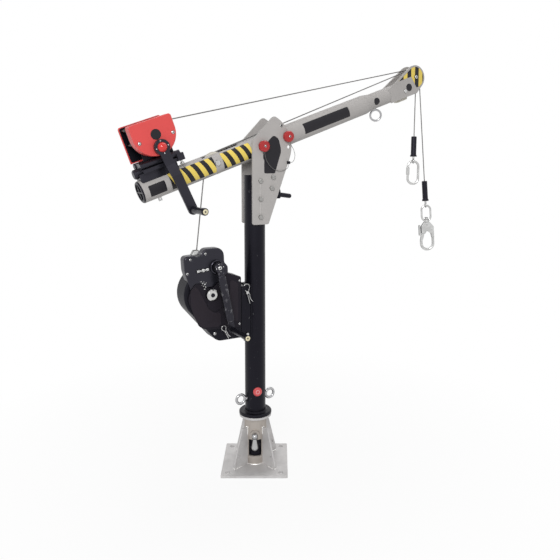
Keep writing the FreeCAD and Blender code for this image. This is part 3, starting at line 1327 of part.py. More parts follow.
def make_retriever_head():
    seats = [cross_bar(x, z, SCREW_BOSS_D, HEAD_NEAR, HEAD_NEAR + SCREW_BOSS_DEPTH) for x, z in SCREW_BOSSES]
    return head_block().cut(seats + [crank_hole()])


def crank_hole():
    """Hole for the retriever crank's shaft."""
    return cross_bar(RETRIEVER_CRANK_X, RETRIEVER_CRANK_Z, RETRIEVER_SHAFT_D + 2 * RETRIEVER_SHAFT_CLEARANCE,
                     RETRIEVER_ARM_FACE, HEAD_NEAR + RETRIEVER_SHAFT_DEPTH + RETRIEVER_SHAFT_CLEARANCE)


def cover_block():
    """Shield cover on the housing's near side."""
    cover = extrude_outline(rounded_outline(COVER_CORNERS), COVER_FACE, CASE_NEAR)
    return round_rim(cover, COVER_EDGE, COVER_FACE)


def make_retriever_cover():
    pivot = Vector(RETRIEVER_CRANK_X, 0, RETRIEVER_CRANK_Z)
    foot = Vector(STRAP_FOOT_X, 0, STRAP_FOOT_Z)
    strap = flat_arm(pivot, foot, STRAP_WIDTH, STRAP_FACE, CASE_NEAR)
    strap = round_rim(strap, COVER_EDGE, STRAP_FACE)
    within = extrude_outline(rounded_outline(COVER_CORNERS), STRAP_FACE, CASE_NEAR)
    return cover_block().fuse(strap.common(within))


def make_retriever_bracket():
    foot = LOBE_Z - LOBE_R
    outline = ((CASE_FRONT, foot), (BRACKET_FRONT, BRACKET_BOTTOM), (BRACKET_FRONT, BRACKET_TOP),
               (CASE_FRONT, BRACKET_TOP))
    return prism(outline, -BRACKET_HALF_WIDTH, BRACKET_HALF_WIDTH)


def make_mast_bracket():
    mast = Part.makeCylinder(TUBE_OD / 2, MAST_TOP)
    half = MAST_BRACKET_WIDTH / 2
    slot_half = half - MAST_BRACKET_WALL
    body = block(BRACKET_FRONT, 0, -half, half, MAST_BRACKET_BOTTOM, MAST_BRACKET_TOP)
    slot = block(BRACKET_FRONT, -TUBE_OD / 2 - MAST_BRACKET_WALL, -slot_half, slot_half,
                 MAST_BRACKET_BOTTOM, MAST_BRACKET_TOP)
    pin_holes = [cross_bar(BRACKET_PIN_X, z, BRACKET_PIN_D, -half, half) for z in BRACKET_PIN_HEIGHTS]
    return body.cut([mast, slot] + pin_holes)


def make_bracket_pins():
    half = MAST_BRACKET_WIDTH / 2
    pins = []
    for z in BRACKET_PIN_HEIGHTS:
        bar = cross_bar(BRACKET_PIN_X, z, BRACKET_PIN_D, -half - BRACKET_PIN_END, half)
        head = cross_bar(BRACKET_PIN_X, z, BRACKET_PIN_HEAD_D, half, half + BRACKET_PIN_HEAD)
        pins.append(bar.fuse(head))
    return Part.makeCompound(pins)


def make_retriever_nozzle():
    nozzle, up = retriever_rope_start()
    seat = nozzle + Vector(0, -ROPE_SIDE, 0)
    foot = NOZZLE_FOOT_WIDTH / 2
    top = NOZZLE_TOP_WIDTH / 2
    half = NOZZLE_THICKNESS / 2
    corners = ((-foot, -NOZZLE_ROOT), (foot, -NOZZLE_ROOT), (foot, 0),
               (top, NOZZLE_LENGTH), (-top, NOZZLE_LENGTH), (-foot, 0))
    outline = rounded_outline([(x, z, NOZZLE_CORNER_R) for x, z in corners])
    guide = extrude_outline(outline, -half, half)
    guide.translate(seat)
    bore_foot = seat + up * (NOZZLE_LENGTH - NOZZLE_BORE_DEPTH)
    bore = Part.makeCylinder(NOZZLE_BORE_D / 2, 2 * NOZZLE_BORE_DEPTH, bore_foot, up)
    return guide.cut([bore, head_block(), case_block()])


def make_retriever_knob():
    face = STRAP_FACE - CHROME_KNOB
    r = CHROME_KNOB_D / 2
    knob = turned_about_cross_axis(RETRIEVER_X, RETRIEVER_Z, (
        (0, COVER_FACE), (r, COVER_FACE), (r, face + CHROME_KNOB_ROUND), (r - CHROME_KNOB_ROUND, face),
        (0, face)))
    return knob.cut(make_retriever_cover())


def retriever_crank_ends():
    return (Vector(RETRIEVER_CRANK_X, 0, RETRIEVER_CRANK_Z),
            Vector(RETRIEVER_CRANK_END_X, 0, RETRIEVER_CRANK_END_Z))


def make_retriever_crank_arm():
    pivot, end = retriever_crank_ends()
    outer = RETRIEVER_ARM_FACE - RETRIEVER_ARM_THICKNESS
    heading = end.sub(pivot).normalize()
    arm = flat_arm(pivot, end, RETRIEVER_ARM_WIDTH, outer, RETRIEVER_ARM_FACE)
    sleeve_outer = RETRIEVER_ARM_FACE - RETRIEVER_SLEEVE_THICKNESS
    sleeve = flat_arm(pivot + heading * RETRIEVER_SLEEVE_START, pivot + heading * RETRIEVER_SLEEVE_END,
                      RETRIEVER_SLEEVE_WIDTH, sleeve_outer, RETRIEVER_ARM_FACE)
    sleeve = round_rim(sleeve, RETRIEVER_SLEEVE_ROUND, sleeve_outer)
    boss = cross_bar(pivot.x, pivot.z, RETRIEVER_BOSS_D, outer, RETRIEVER_ARM_FACE + RETRIEVER_BOSS_STEP)
    shaft = cross_bar(pivot.x, pivot.z, RETRIEVER_SHAFT_D, outer, HEAD_NEAR + RETRIEVER_SHAFT_DEPTH)
    return arm.fuse([sleeve, boss, shaft])


def make_retriever_crank_grip():
    _, end = retriever_crank_ends()
    seat = RETRIEVER_ARM_FACE - RETRIEVER_ARM_THICKNESS
    return hand_grip(end.x, end.z, seat, RETRIEVER_GRIP_LENGTH, RETRIEVER_GRIP_D, RETRIEVER_GRIP_WAIST_D)


def make_lanyard_clip():
    half = CLIP_SIZE / 2
    return block(CLIP_X - half, CLIP_X + half, -PLATE_OUTER - CLIP_HEIGHT, -PLATE_OUTER,
                 CLIP_Z - half, CLIP_Z + half)


def cord_tube(points, diameter):
    """Slack cord: straight runs joined by arcs as large as the runs allow."""
    edges = []
    here = points[0]
    radii = []
    for before, corner, after in zip(points, points[1:], points[2:]):
        back = before.sub(corner)
        ahead = after.sub(corner)
        turn = math.pi - back.getAngle(ahead)
        cut = 0.45 * min(back.Length, ahead.Length)
        radii.append(round(cut / math.tan(turn / 2), 1))
        arc_in = corner + back.normalize() * cut
        arc_out = corner + ahead.normalize() * cut
        inside = (back.normalize() + ahead.normalize()).normalize()
        radius = cut / math.tan(turn / 2)
        middle = corner + inside * (radius / math.cos(turn / 2) - radius)
        edges.append(Part.LineSegment(here, arc_in).toShape())
        edges.append(Part.Arc(arc_in, middle, arc_out).toShape())
        here = arc_out
    edges.append(Part.LineSegment(here, points[-1]).toShape())
    tube = pipe(edges, diameter)
    length = sum(edge.Length for edge in edges)
    section = math.pi * (diameter / 2) ** 2
    print("cord radii", radii, "length", round(length, 1),
          "volume ratio", round(tube.Volume / (section * length), 4))
    return tube


def make_lock_pin_lanyard():
    return cord_tube([Vector(*point) for point in LOCK_LANYARD_ROUTE], LANYARD_D)


def make_pivot_pin_lanyard():
    return cord_tube([Vector(*point) for point in PIVOT_LANYARD_ROUTE], LANYARD_D)


def main():
    os.makedirs("parts", exist_ok=True)
    save("base_plate", make_base_plate())
    save("base_sleeve", make_base_sleeve())
    save("sleeve_flange", make_sleeve_flange())
    save("base_gussets", make_base_gussets())
    save("slew_lock_pin", make_slew_lock_pin())
    save("mast_spigot", make_mast_spigot())
    save("slew_collar", make_slew_collar())
    save("mast_tube", make_mast_tube())
    save("mast_eye_bolts", make_mast_eye_bolts())
    save("mast_plug", make_mast_plug())
    save("near_head_plate", make_head_plate(-PLATE_OUTER, -PLATE_INNER))
    save("far_head_plate", make_head_plate(PLATE_INNER, PLATE_OUTER))
    save("head_bolts", make_head_bolts())
    save("head_pins", make_head_pins())
    save("pin_knobs", make_pin_knobs())
    save("handle_block", make_handle_block())
    save("push_handle", make_push_handle())
    save("lanyard_clip", make_lanyard_clip())
    save("lock_pin_lanyard", make_lock_pin_lanyard())
    save("pivot_pin_lanyard", make_pivot_pin_lanyard())
    save("boom_tube", make_boom_tube())
    save("boom_nose", make_boom_nose())
    save("boom_end_cap", make_boom_end_cap())
    save("rope_sheaves", make_rope_sheaves())
    save("sheave_axles", make_sheave_axles())
    save("rear_lug", make_rear_lug())
    save("anchor_eye", make_anchor_eye())
    save("near_tip_cheek", make_tip_cheek(-CHEEK_OUTER, -CHEEK_INNER))
    save("far_tip_cheek", make_tip_cheek(CHEEK_INNER, CHEEK_OUTER))
    save("tip_bolt", make_tip_bolt())
    save("tip_guard", make_tip_guard())
    save("winch_saddle", make_winch_saddle())
    save("winch_base", make_winch_base())
    save("winch_near_plate", make_winch_near_plate())
    save("winch_far_plate", make_winch_far_plate())
    save("winch_cover", make_winch_cover())
    save("winch_spacers", make_winch_spacers())
    save("winch_drum", make_winch_drum())
    save("retriever_case", make_retriever_case())
    save("retriever_head", make_retriever_head())
    save("retriever_cover", make_retriever_cover())
    save("retriever_bracket", make_retriever_bracket())
    save("mast_bracket", make_mast_bracket())
    save("bracket_pins", make_bracket_pins())
    save("retriever_nozzle", make_retriever_nozzle())
    save("retriever_knob", make_retriever_knob())
    save("hoist_rope", make_hoist_rope())
    save("retriever_rope", make_retriever_rope())
    save("rope_stops", make_rope_stops())
    save("rope_eyes", make_rope_eyes())
    save("carabiner", make_carabiner())
    save("swivel_link", make_swivel_link())
    save("winch_crank_arm", make_winch_crank_arm())
    save("winch_crank_cap", make_winch_crank_cap())
    save("winch_crank_grip", make_winch_crank_grip())
    save("retriever_crank_arm", make_retriever_crank_arm())
    save("retriever_crank_grip", make_retriever_crank_grip())
    save("snap_hook", make_snap_hook())
    save("hook_gate", make_hook_gate())


main()
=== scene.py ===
# %% [markdown]
# # A floor mounted davit, dressed for its portrait
# The davit is a small slewing crane for lowering and lifting people through a hatch. Its solids come packed
# from the CAD model, and this lesson gives them their finishes and the small things that a solid model
# leaves out: strands in the ropes, welds, tape, screws and clips. Every place is in the CAD model's own
# frame: the origin is the middle of the base plate's underside, +Z runs up the mast, +X is the way the boom
# points, and the cranks are on the -Y side. Sizes are written in millimetres, and MM turns them into
# Blender's metres.

# %% Load the solids
import json
import math

import bmesh
import bpy
from mathutils import Euler, Matrix, Vector


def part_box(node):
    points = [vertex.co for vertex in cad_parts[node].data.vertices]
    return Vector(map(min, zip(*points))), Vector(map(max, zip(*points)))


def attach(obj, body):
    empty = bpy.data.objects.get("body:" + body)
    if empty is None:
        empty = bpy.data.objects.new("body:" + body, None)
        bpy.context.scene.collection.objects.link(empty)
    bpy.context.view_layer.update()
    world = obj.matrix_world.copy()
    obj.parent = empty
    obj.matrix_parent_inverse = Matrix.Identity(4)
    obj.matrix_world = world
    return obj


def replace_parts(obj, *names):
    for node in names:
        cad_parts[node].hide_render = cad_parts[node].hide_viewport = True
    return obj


MM = 0.001
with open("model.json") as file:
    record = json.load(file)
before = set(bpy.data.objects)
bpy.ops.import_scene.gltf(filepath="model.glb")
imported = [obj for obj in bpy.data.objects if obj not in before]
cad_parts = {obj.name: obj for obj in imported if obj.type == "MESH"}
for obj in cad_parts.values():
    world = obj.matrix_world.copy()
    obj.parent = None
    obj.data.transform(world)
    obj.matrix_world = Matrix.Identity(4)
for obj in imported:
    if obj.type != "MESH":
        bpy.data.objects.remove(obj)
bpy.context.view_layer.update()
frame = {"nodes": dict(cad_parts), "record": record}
scene = bpy.context.scene
scene.view_settings.view_transform = "Standard"


def add_object(name, data):
    """Put a new object with this data in the scene."""
    thing = bpy.data.objects.new(name, data)
    scene.collection.objects.link(thing)
    return thing


# %% [markdown]
# ## The camera
# The camera stands level with the head plates, thirty degrees round from the boom's side towards the winch,
# and tips down only a little, so that the mast stays upright. A little lens shift does what a view camera
# does: it shows more of the base without tipping the camera further. More shift would fit this one picture
# a little better, but the other views keep the shift too.

# %% Place the camera
VIEW_TURN = math.radians(-30.0)
VIEW_TILT = math.radians(4.6)
VIEW_DISTANCE = 2408 * MM
VIEW_SIDE = 108 * MM
VIEW_HEIGHT = 1293 * MM
SENSOR_MM = 36.0
LENS_MM = 36.45
LENS_SHIFT = -0.12

view_ahead = Vector((-math.sin(VIEW_TURN), math.cos(VIEW_TURN), 0.0))
view_right = Vector((math.cos(VIEW_TURN), math.sin(VIEW_TURN), 0.0))
camera_data = bpy.data.cameras.new("camera")
camera_data.sensor_width = SENSOR_MM
camera_data.lens = LENS_MM
camera_data.shift_y = LENS_SHIFT
camera = add_object("camera", camera_data)
camera.location = view_right * VIEW_SIDE - view_ahead * VIEW_DISTANCE + Vector((0.0, 0.0, VIEW_HEIGHT))
camera.rotation_euler = Euler((math.pi / 2 - VIEW_TILT, 0.0, VIEW_TURN))
scene.camera = camera
print("camera at", [round(v, 3) for v in camera.location])

# %% [markdown]
# ## Building node trees
# Every finish here is procedural: a Principled shader fed by noise that reads Object coordinates, so the
# grain stays put on the piece and needs no pictures. Node code grows long, so small helpers keep it short.
# They add a node and fill its sockets, hand on a node's output, do one step of arithmetic, map one range of
# values onto another, and start a material.

# %% Building node trees
def add_node(tree, kind, values=None, **settings):
    """Add a node, set its properties, and fill its inputs with constants or with other nodes' outputs."""
    node = tree.nodes.new(kind)
    for name, value in settings.items():
        setattr(node, name, value)
    for socket, value in (values or {}).items():
        if isinstance(value, bpy.types.NodeSocket):
            tree.links.new(value, node.inputs[socket])
        else:
            node.inputs[socket].default_value = value
    return node


def made_by(tree, kind, values=None, output=0, **settings):
    """Add a node and return one of its outputs, the first unless another is named."""
    return add_node(tree, kind, values, **settings).outputs[output]


def figure(tree, operation, first, second=0.0):
    """One step of arithmetic in a tree."""
    return made_by(tree, "ShaderNodeMath", {0: first, 1: second}, operation=operation)


def ranged(tree, value, low, high, to_low=0.0, to_high=1.0):
    """Map the values from low to high onto another range."""
    limits = {"From Min": low, "From Max": high, "To Min": to_low, "To Max": to_high}
    return made_by(tree, "ShaderNodeMapRange", {"Value": value, **limits})


def new_finish(name):
    """A material with a fresh Principled shader, as (material, tree, shader)."""
    material = bpy.data.materials.new(name)
    material.use_nodes = True
    tree = material.node_tree
    tree.nodes.clear()
    shader = add_node(tree, "ShaderNodeBsdfPrincipled")
    add_node(tree, "ShaderNodeOutputMaterial", {"Surface": shader.outputs["BSDF"]})
    return material, tree, shader


print("node helpers:", [helper.__name__ for helper in (add_node, made_by, figure, ranged, new_finish)])

# %% [markdown]
# ## Noise and mixed colours
# No real surface has one flat colour. Noise gives it cloudy patches and drawn-out scratches. A noise
# texture seldom reaches nought or one, so its usual middle values are stretched before they mix two tones
# of a colour.

# %% Noise and mixed colours
NOISE_LOW = 0.3
NOISE_HIGH = 0.7


def noise(tree, scale, detail=3.0, stretch=(1.0, 1.0, 1.0), lean=0.0):
    """Noise on Object coordinates, squeezed or drawn out along the axes, and leaned about Y."""
    place = made_by(tree, "ShaderNodeTexCoord", output="Object")
    leaned = made_by(tree, "ShaderNodeVectorRotate", {"Vector": place, "Angle": math.radians(lean)},
                     rotation_type="Y_AXIS")
    mapped = made_by(tree, "ShaderNodeMapping", {"Vector": leaned, "Scale": stretch})
    return made_by(tree, "ShaderNodeTexNoise", {"Vector": mapped, "Scale": scale, "Detail": detail})


def spread(tree, value, low=0.0, high=1.0):
    """Stretch the usual values of noise over a range."""
    return ranged(tree, value, NOISE_LOW, NOISE_HIGH, low, high)


def opaque(colour, factor=1.0):
    """A colour made lighter or darker, with the full opacity that a socket needs."""
    return (*(channel * factor for channel in colour), 1.0)


def mixed(tree, share, first, second):
    """Mix two colours, each an opaque colour or a node's output."""
    return made_by(tree, "ShaderNodeMix", {0: share, 6: first, 7: second}, output=2, data_type="RGBA")


def mottled(tree, clouds, colour, mottle):
    """A colour that clouds make a little darker here and lighter there."""
    return mixed(tree, spread(tree, clouds), opaque(colour, 1.0 - mottle), opaque(colour, 1.0 + mottle))


print("noise stretched from", NOISE_LOW, "to", NOISE_HIGH)

# %% [markdown]
# ## Soft edges, rubbed and with a painted highlight
# Plates and mouldings have slightly round edges that catch the light. Rounding every solid would take many
# faces, so a Bevel node bends the shading near each sharp edge instead. Where the bent normal leaves the
# true one there is an edge, and the same difference lightens the colour there: partly paint rubbed thin, and
# partly a painted highlight along the edge.

# %% Soft edges, rubbed and with a painted highlight
EDGE_ROUND = 1.6 * MM
EDGE_SAMPLES = 4
EDGE_WEAR_HIGHLIGHT_STARTS = 0.97
EDGE_WEAR_HIGHLIGHT_FULL = 0.8
EDGE_WEAR_HIGHLIGHT_SHARE = 0.8
EDGE_WEAR_HIGHLIGHT_SCALE = 160.0
EDGE_WEAR_HIGHLIGHT_DETAIL = 4.0
LEAST_EDGE_WEAR_HIGHLIGHT = 0.3


def soft_edge(tree):
    """The normal of a surface whose sharp edges are a little rounded."""
    return made_by(tree, "ShaderNodeBevel", {"Radius": EDGE_ROUND}, samples=EDGE_SAMPLES)


def grain(tree, shader, height, strength, distance):
    """Fine relief on the shader's normal, over softened edges."""
    relief = {"Height": height, "Strength": strength, "Distance": distance, "Normal": soft_edge(tree)}
    tree.links.new(made_by(tree, "ShaderNodeBump", relief), shader.inputs["Normal"])


def worn_and_highlit_edges(tree, surface, bare):
    """Lighten a colour along sharp edges, here more and there less: rubbed paint and a painted highlight."""
    true_normal = made_by(tree, "ShaderNodeNewGeometry", output="Normal")
    level = made_by(tree, "ShaderNodeVectorMath", {0: soft_edge(tree), 1: true_normal}, output="Value",
                    operation="DOT_PRODUCT")
    edge = ranged(tree, level, EDGE_WEAR_HIGHLIGHT_STARTS, EDGE_WEAR_HIGHLIGHT_FULL, 0.0, EDGE_WEAR_HIGHLIGHT_SHARE)
    broken = spread(tree, noise(tree, EDGE_WEAR_HIGHLIGHT_SCALE, EDGE_WEAR_HIGHLIGHT_DETAIL), LEAST_EDGE_WEAR_HIGHLIGHT)
    return mixed(tree, figure(tree, "MULTIPLY", edge, broken), surface, opaque(bare))


print("edges rounded in the shading by", EDGE_ROUND / MM, "mm")

# %% [markdown]
# ## A recipe for coats and mouldings
# The boom and its plates are powder coated: a faint orange-peel relief and almost no shine. The mast, the
# cranks and the winch's seat have a smoother black coat, and the winch's cover a red enamel. The retrieval
# block and the grips are moulded, with a finer grain. One recipe serves them all; only colour, peel,
# roughness, wear and a painted highlight along edges differ. Scuffs are two leaning sets of scratches that
# show in patches.

# %% A recipe for coats and mouldings
CLOUD_SCALE = 14.0
CLOUD_DETAIL = 4.0
PEEL_DETAIL = 2.0
PEEL_STRENGTH = 0.25
COAT_SWING = 0.05
COOL_SHINE = (0.84, 0.81, 1.0)
SCRATCH_LEANS = (14.0, -32.0)
SCRATCH_SCALE = 420.0
SCRATCH_DETAIL = 2.0
SCRATCH_STRETCH = (1.0, 1.0, 0.07)
PATCH_SCALE = 45.0
RUB_STARTS = 1.36
RUB_FULL = 1.44
RUB_SHARE = 0.7
RUBBED_GREY = (0.22, 0.22, 0.23)


def scuffed(tree, surface, scuffs):
    """Rub a surface along its scratches; scuffs is how much of it is rubbed."""
    scratches = [noise(tree, SCRATCH_SCALE, SCRATCH_DETAIL, SCRATCH_STRETCH, lean) for lean in SCRATCH_LEANS]
    marks = figure(tree, "ADD", figure(tree, "MAXIMUM", *scratches), noise(tree, PATCH_SCALE))
    rubbed = ranged(tree, marks, RUB_STARTS - scuffs, RUB_FULL - scuffs, 0.0, RUB_SHARE)
    return mixed(tree, rubbed, surface, opaque(RUBBED_GREY))


def coated(name, colour, peel, rough, mottle=0.06, gloss=0.5, scuffs=0.0, cool=False, bare=None):
    """Paint, powder coat or moulding. The peel is the scale and height of its relief, cool gives a bluish
    shine, and bare is the lighter colour along edges, partly worn paint and partly a painted highlight."""
    material, tree, shader = new_finish(name)
    peel_scale, peel_height = peel
    clouds = noise(tree, CLOUD_SCALE, CLOUD_DETAIL)
    surface = mottled(tree, clouds, colour, mottle)
    if scuffs > 0.0:
        surface = scuffed(tree, surface, scuffs)
    # Lighter edges: partly worn paint, partly a painted highlight.
    if bare:
        surface = worn_and_highlit_edges(tree, surface, bare)
    tree.links.new(surface, shader.inputs["Base Color"])
    roughness = spread(tree, clouds, rough - COAT_SWING, rough + COAT_SWING)
    tree.links.new(roughness, shader.inputs["Roughness"])
    shader.inputs["Specular IOR Level"].default_value = gloss
    if cool:
        shader.inputs["Specular Tint"].default_value = opaque(COOL_SHINE)
    grain(tree, shader, noise(tree, peel_scale, PEEL_DETAIL), PEEL_STRENGTH, peel_height)
    return material


print("coats swing in roughness by", COAT_SWING)

# %% [markdown]
# ## Coats and mouldings
# Each finish below is one call of the recipe. The black mouldings share a bluish shine and edges lightened
# by rubbing and by a painted highlight, and the red knobs and caps share a polish, so each family has its
# own short function.

# %% Coats and mouldings
GREY = (0.445, 0.427, 0.415)
BLACK = (0.0046, 0.0045, 0.0070)
# The next three colours lighten edges: partly worn paint, partly a painted highlight.
PALE_GREY = (0.62, 0.61, 0.60)
BLACK_EDGE_WEAR_HIGHLIGHT = (0.045, 0.045, 0.052)
PALE_RED = (0.80, 0.22, 0.21)
ORANGE_PEEL = (700.0, 0.4 * MM)
SMOOTH_COAT = (800.0, 0.2 * MM)
ENAMEL = (500.0, 0.2 * MM)
FINE_GRAIN = (1500.0, 0.3 * MM)
MATT_GRAIN = (1800.0, 0.4 * MM)
DULL_GRAIN = (900.0, 0.3 * MM)
SATIN = (900.0, 0.2 * MM)
POLISH = (900.0, 0.1 * MM)


def black_moulding(name, colour, peel, rough, gloss):
    """A black moulding with a bluish shine and edges lightened by rubbing and by a painted highlight."""
    return coated(name, colour, peel, rough, mottle=0.12, gloss=gloss, cool=True, bare=BLACK_EDGE_WEAR_HIGHLIGHT)


def polished_plastic(name, colour, rough, bare=None):
    """A polished, coloured plastic, as on knobs and caps."""
    return coated(name, colour, POLISH, rough, mottle=0.05, gloss=0.5, bare=bare)


# Each bare colour lightens edges: partly wear, partly a painted highlight.
finishes = {
    "grey_coat": coated("grey_powder_coat", GREY, ORANGE_PEEL, 0.62, mottle=0.03, gloss=0.2, bare=PALE_GREY),
    "black_coat": coated("black_coat", BLACK, SMOOTH_COAT, 0.34, mottle=0.15, gloss=0.19, scuffs=0.02,
                         cool=True, bare=BLACK_EDGE_WEAR_HIGHLIGHT),
    "black_plastic": black_moulding("black_moulding", (0.0055, 0.0055, 0.0085), FINE_GRAIN, 0.32, 0.28),
    "red_paint": coated("red_enamel", (0.70, 0.075, 0.072), ENAMEL, 0.4, mottle=0.03, gloss=0.4,
                        bare=PALE_RED),
    "red_plastic": polished_plastic("red_knob_plastic", (0.42, 0.012, 0.014), 0.16),
    "pale_plastic": coated("pale_nylon", (0.66, 0.63, 0.55), DULL_GRAIN, 0.5, mottle=0.05, gloss=0.4),
}
shield_moulding = black_moulding("shield_moulding", (0.0105, 0.0088, 0.0120), MATT_GRAIN, 0.6, 0.2)
# Satin black: glossier, and lighter than the other blacks as a painted highlight.
satin_black_with_painted_highlight = black_moulding("satin_black_with_painted_highlight", (0.011, 0.011, 0.0145), SATIN, 0.3, 0.42)
dull_case = black_moulding("dull_case", (0.0055, 0.0055, 0.008), FINE_GRAIN, 0.42, 0.17)
glossy_moulding = coated("glossy_moulding", (0.005, 0.005, 0.007), POLISH, 0.12, mottle=0.1, gloss=0.6,
                         cool=True)
scuffed_sleeve = coated("scuffed_sleeve", (0.0095, 0.0095, 0.012), DULL_GRAIN, 0.3, mottle=0.3, gloss=0.42,
                        scuffs=0.2, cool=True)
# Pale pink for the plug's raised ring: partly a painted reflection.
pale_red = polished_plastic("pale_red_plastic", (0.74, 0.30, 0.31), 0.2)
plug_red = polished_plastic("plug_red_plastic", (0.62, 0.075, 0.08), 0.2, bare=PALE_RED)
bright_red = polished_plastic("bright_red_plastic", (0.68, 0.03, 0.026), 0.18)
print("slots with a coat or a moulding:", sorted(finishes))

# %% [markdown]
# ## Metals
# The base is brushed stainless steel, with fine scratches drawn out along one axis. A dull film takes away
# some of its mirror, so it isn't wholly metallic, and its sleeve is warmer in tone. Hooks, links and screws
# are zinc plated, with a cloudy patina, and darker on the head bolts. The eyes and the lock pin are
# chromed. Wire rope is a darker drawn steel.

# %% Metals
STREAK_SCALE = 60.0
STREAK_DETAIL = 4.0
STREAK_STRENGTH = 0.3
METAL_SWING = 0.08
BRUSHED = ((1.0, 1.0, 30.0), 0.4 * MM)
PLATED = ((4.0, 4.0, 4.0), 0.2 * MM)
CHROMED = ((4.0, 4.0, 4.0), 0.1 * MM)
DRAWN = ((1.0, 1.0, 1.0), 0.1 * MM)


def metal(name, colour, surface, rough, mottle=0.08, cloud_scale=22.0, rim=1.0, bareness=1.0):
    """Bare or plated metal. The surface is the stretch and height of its streaks, a low rim darkens it at
    grazing angles, and a low bareness gives it a dull film."""
    material, tree, shader = new_finish(name)
    stretch, relief = surface
    streaks = noise(tree, STREAK_SCALE, STREAK_DETAIL, stretch)
    clouds = noise(tree, cloud_scale)
    tree.links.new(mottled(tree, clouds, colour, mottle), shader.inputs["Base Color"])
    roughness = spread(tree, streaks, rough - METAL_SWING, rough + METAL_SWING)
    tree.links.new(roughness, shader.inputs["Roughness"])
    shader.inputs["Metallic"].default_value = bareness
    shader.inputs["Specular Tint"].default_value = opaque((rim, rim, rim))
    grain(tree, shader, streaks, STREAK_STRENGTH, relief)
    return material


finishes["stainless_steel"] = metal("brushed_stainless", (0.60, 0.588, 0.585), BRUSHED, 0.7, mottle=0.07,
                                    rim=0.3, bareness=0.6)
finishes["zinc_steel"] = metal("bright_zinc", (0.56, 0.56, 0.555), PLATED, 0.17, mottle=0.16,
                               cloud_scale=40.0, rim=0.0)
finishes["wire_rope"] = metal("drawn_wire", (0.19, 0.185, 0.18), DRAWN, 0.4, mottle=0.1)
warm_stainless = metal("warm_stainless", (0.47, 0.43, 0.395), BRUSHED, 0.6, mottle=0.07, rim=0.3,
                       bareness=0.7)
chrome = metal("bright_chrome", (0.44, 0.44, 0.45), CHROMED, 0.09, mottle=0.06, rim=0.0)
darker_zinc = metal("darker_zinc", (0.34, 0.335, 0.325), PLATED, 0.26, mottle=0.2, cloud_scale=120.0)
print("slots with a finish:", len(finishes))

# %% [markdown]
# ## Dressing the solids
# Every solid of the CAD model names the slot that it belongs to, and takes that slot's finish. A few have a
# look of their own within their slot, such as the scuffed crank of the retrieval block.

# %% Dressing the solids
# The winch's crank, saddle and base get the satin black, whose lighter colour is a painted highlight.
node_looks = {"retriever_cover": shield_moulding, "retriever_crank_arm": scuffed_sleeve,
              "winch_crank_arm": satin_black_with_painted_highlight, "winch_saddle": satin_black_with_painted_highlight, "winch_base": satin_black_with_painted_highlight,
              "winch_crank_cap": bright_red, "head_bolts": darker_zinc, "mast_eye_bolts": chrome,
              "anchor_eye": chrome, "base_sleeve": warm_stainless, "slew_lock_pin": chrome,
              "mast_plug": plug_red}

for part in frame["record"]["subparts"]:
    solid = frame["nodes"][part["node"]]
    solid.data.materials.clear()
    solid.data.materials.append(node_looks.get(part["node"], finishes[part["material_slot"]]))

# %% [markdown]
# ## The boom's own directions
# Much of what follows lies on the boom, which rises twenty degrees. A helper turns a place along the boom,
# a rise square to it and a side into a point, so that tape and labels can be given in the boom's own terms.

# %% The boom's own directions
BOOM_ANGLE = math.radians(20.0)
BOOM_CROSS = Vector((0.0, 0.0, 1375 * MM))
boom_ahead = Vector((math.cos(BOOM_ANGLE), 0.0, math.sin(BOOM_ANGLE)))
boom_up = Vector((-math.sin(BOOM_ANGLE), 0.0, math.cos(BOOM_ANGLE)))


def boom_point(along, rise, y=0.0):
    """Point from millimetres along the boom, square to it, and across it."""
    return BOOM_CROSS + boom_ahead * (along * MM) + boom_up * (rise * MM) + Vector((0.0, y * MM, 0.0))


print("the boom crosses the mast at", [round(v, 3) for v in BOOM_CROSS])

# %% [markdown]
# ## Lanyards of the two pins
# Each head pin hangs on a thin coated wire that ends in one clip on the near head plate, so a pulled pin
# isn't lost. The wires are stiff enough to stand out in a loop. Each is one smooth NURBS curve whose
# control points are the route that the solid wire follows in the CAD model.

# %% Lanyards of the two pins
LANYARD_D = 2 * MM
LOCK_LANYARD_LENGTH = 108.4 * MM
PIVOT_LANYARD_LENGTH = 180.5 * MM
LOCK_LANYARD_ROUTE = ((137.3, -65, 1399.9), (141.5, -65, 1386), (155, -63, 1369), (165, -61, 1345),
                      (160, -59, 1321), (150, -57, 1312.5), (140.05, -57, 1312.5))
PIVOT_LANYARD_ROUTE = ((14, -65, 1356.05), (15, -65, 1340), (27, -62, 1316), (46, -59, 1293), (73, -57, 1278),
                       (102, -57, 1276), (126, -57, 1285), (134, -57, 1297), (134, -57, 1306.45))
CORD_ORDER = 3
CORD_STEPS = 10
CORD_ROUNDNESS = 3


def smooth_cord(name, route, diameter):
    """A round cord along a smooth curve; the route is in millimetres and the diameter in metres."""
    curve = bpy.data.curves.new(name, "CURVE")
    curve.dimensions = "3D"
    spline = curve.splines.new("NURBS")
    spline.points.add(len(route) - 1)
    for point, place in zip(spline.points, route):
        point.co = (*(v * MM for v in place), 1.0)
    spline.order_u = CORD_ORDER
    spline.use_endpoint_u = True
    spline.resolution_u = CORD_STEPS
    curve.bevel_depth = diameter / 2
    curve.bevel_resolution = CORD_ROUNDNESS
    curve.use_fill_caps = True
    return add_object(name, curve)


for name, route, length in (("lock_pin_lanyard", LOCK_LANYARD_ROUTE, LOCK_LANYARD_LENGTH),
                            ("pivot_pin_lanyard", PIVOT_LANYARD_ROUTE, PIVOT_LANYARD_LENGTH)):
    lanyard = smooth_cord(name + "_wire", route, LANYARD_D)
    lanyard.data.materials.append(finishes["wire_rope"])
    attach(lanyard, "mast")
    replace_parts(lanyard, name)
    print(name, "points:", len(route))

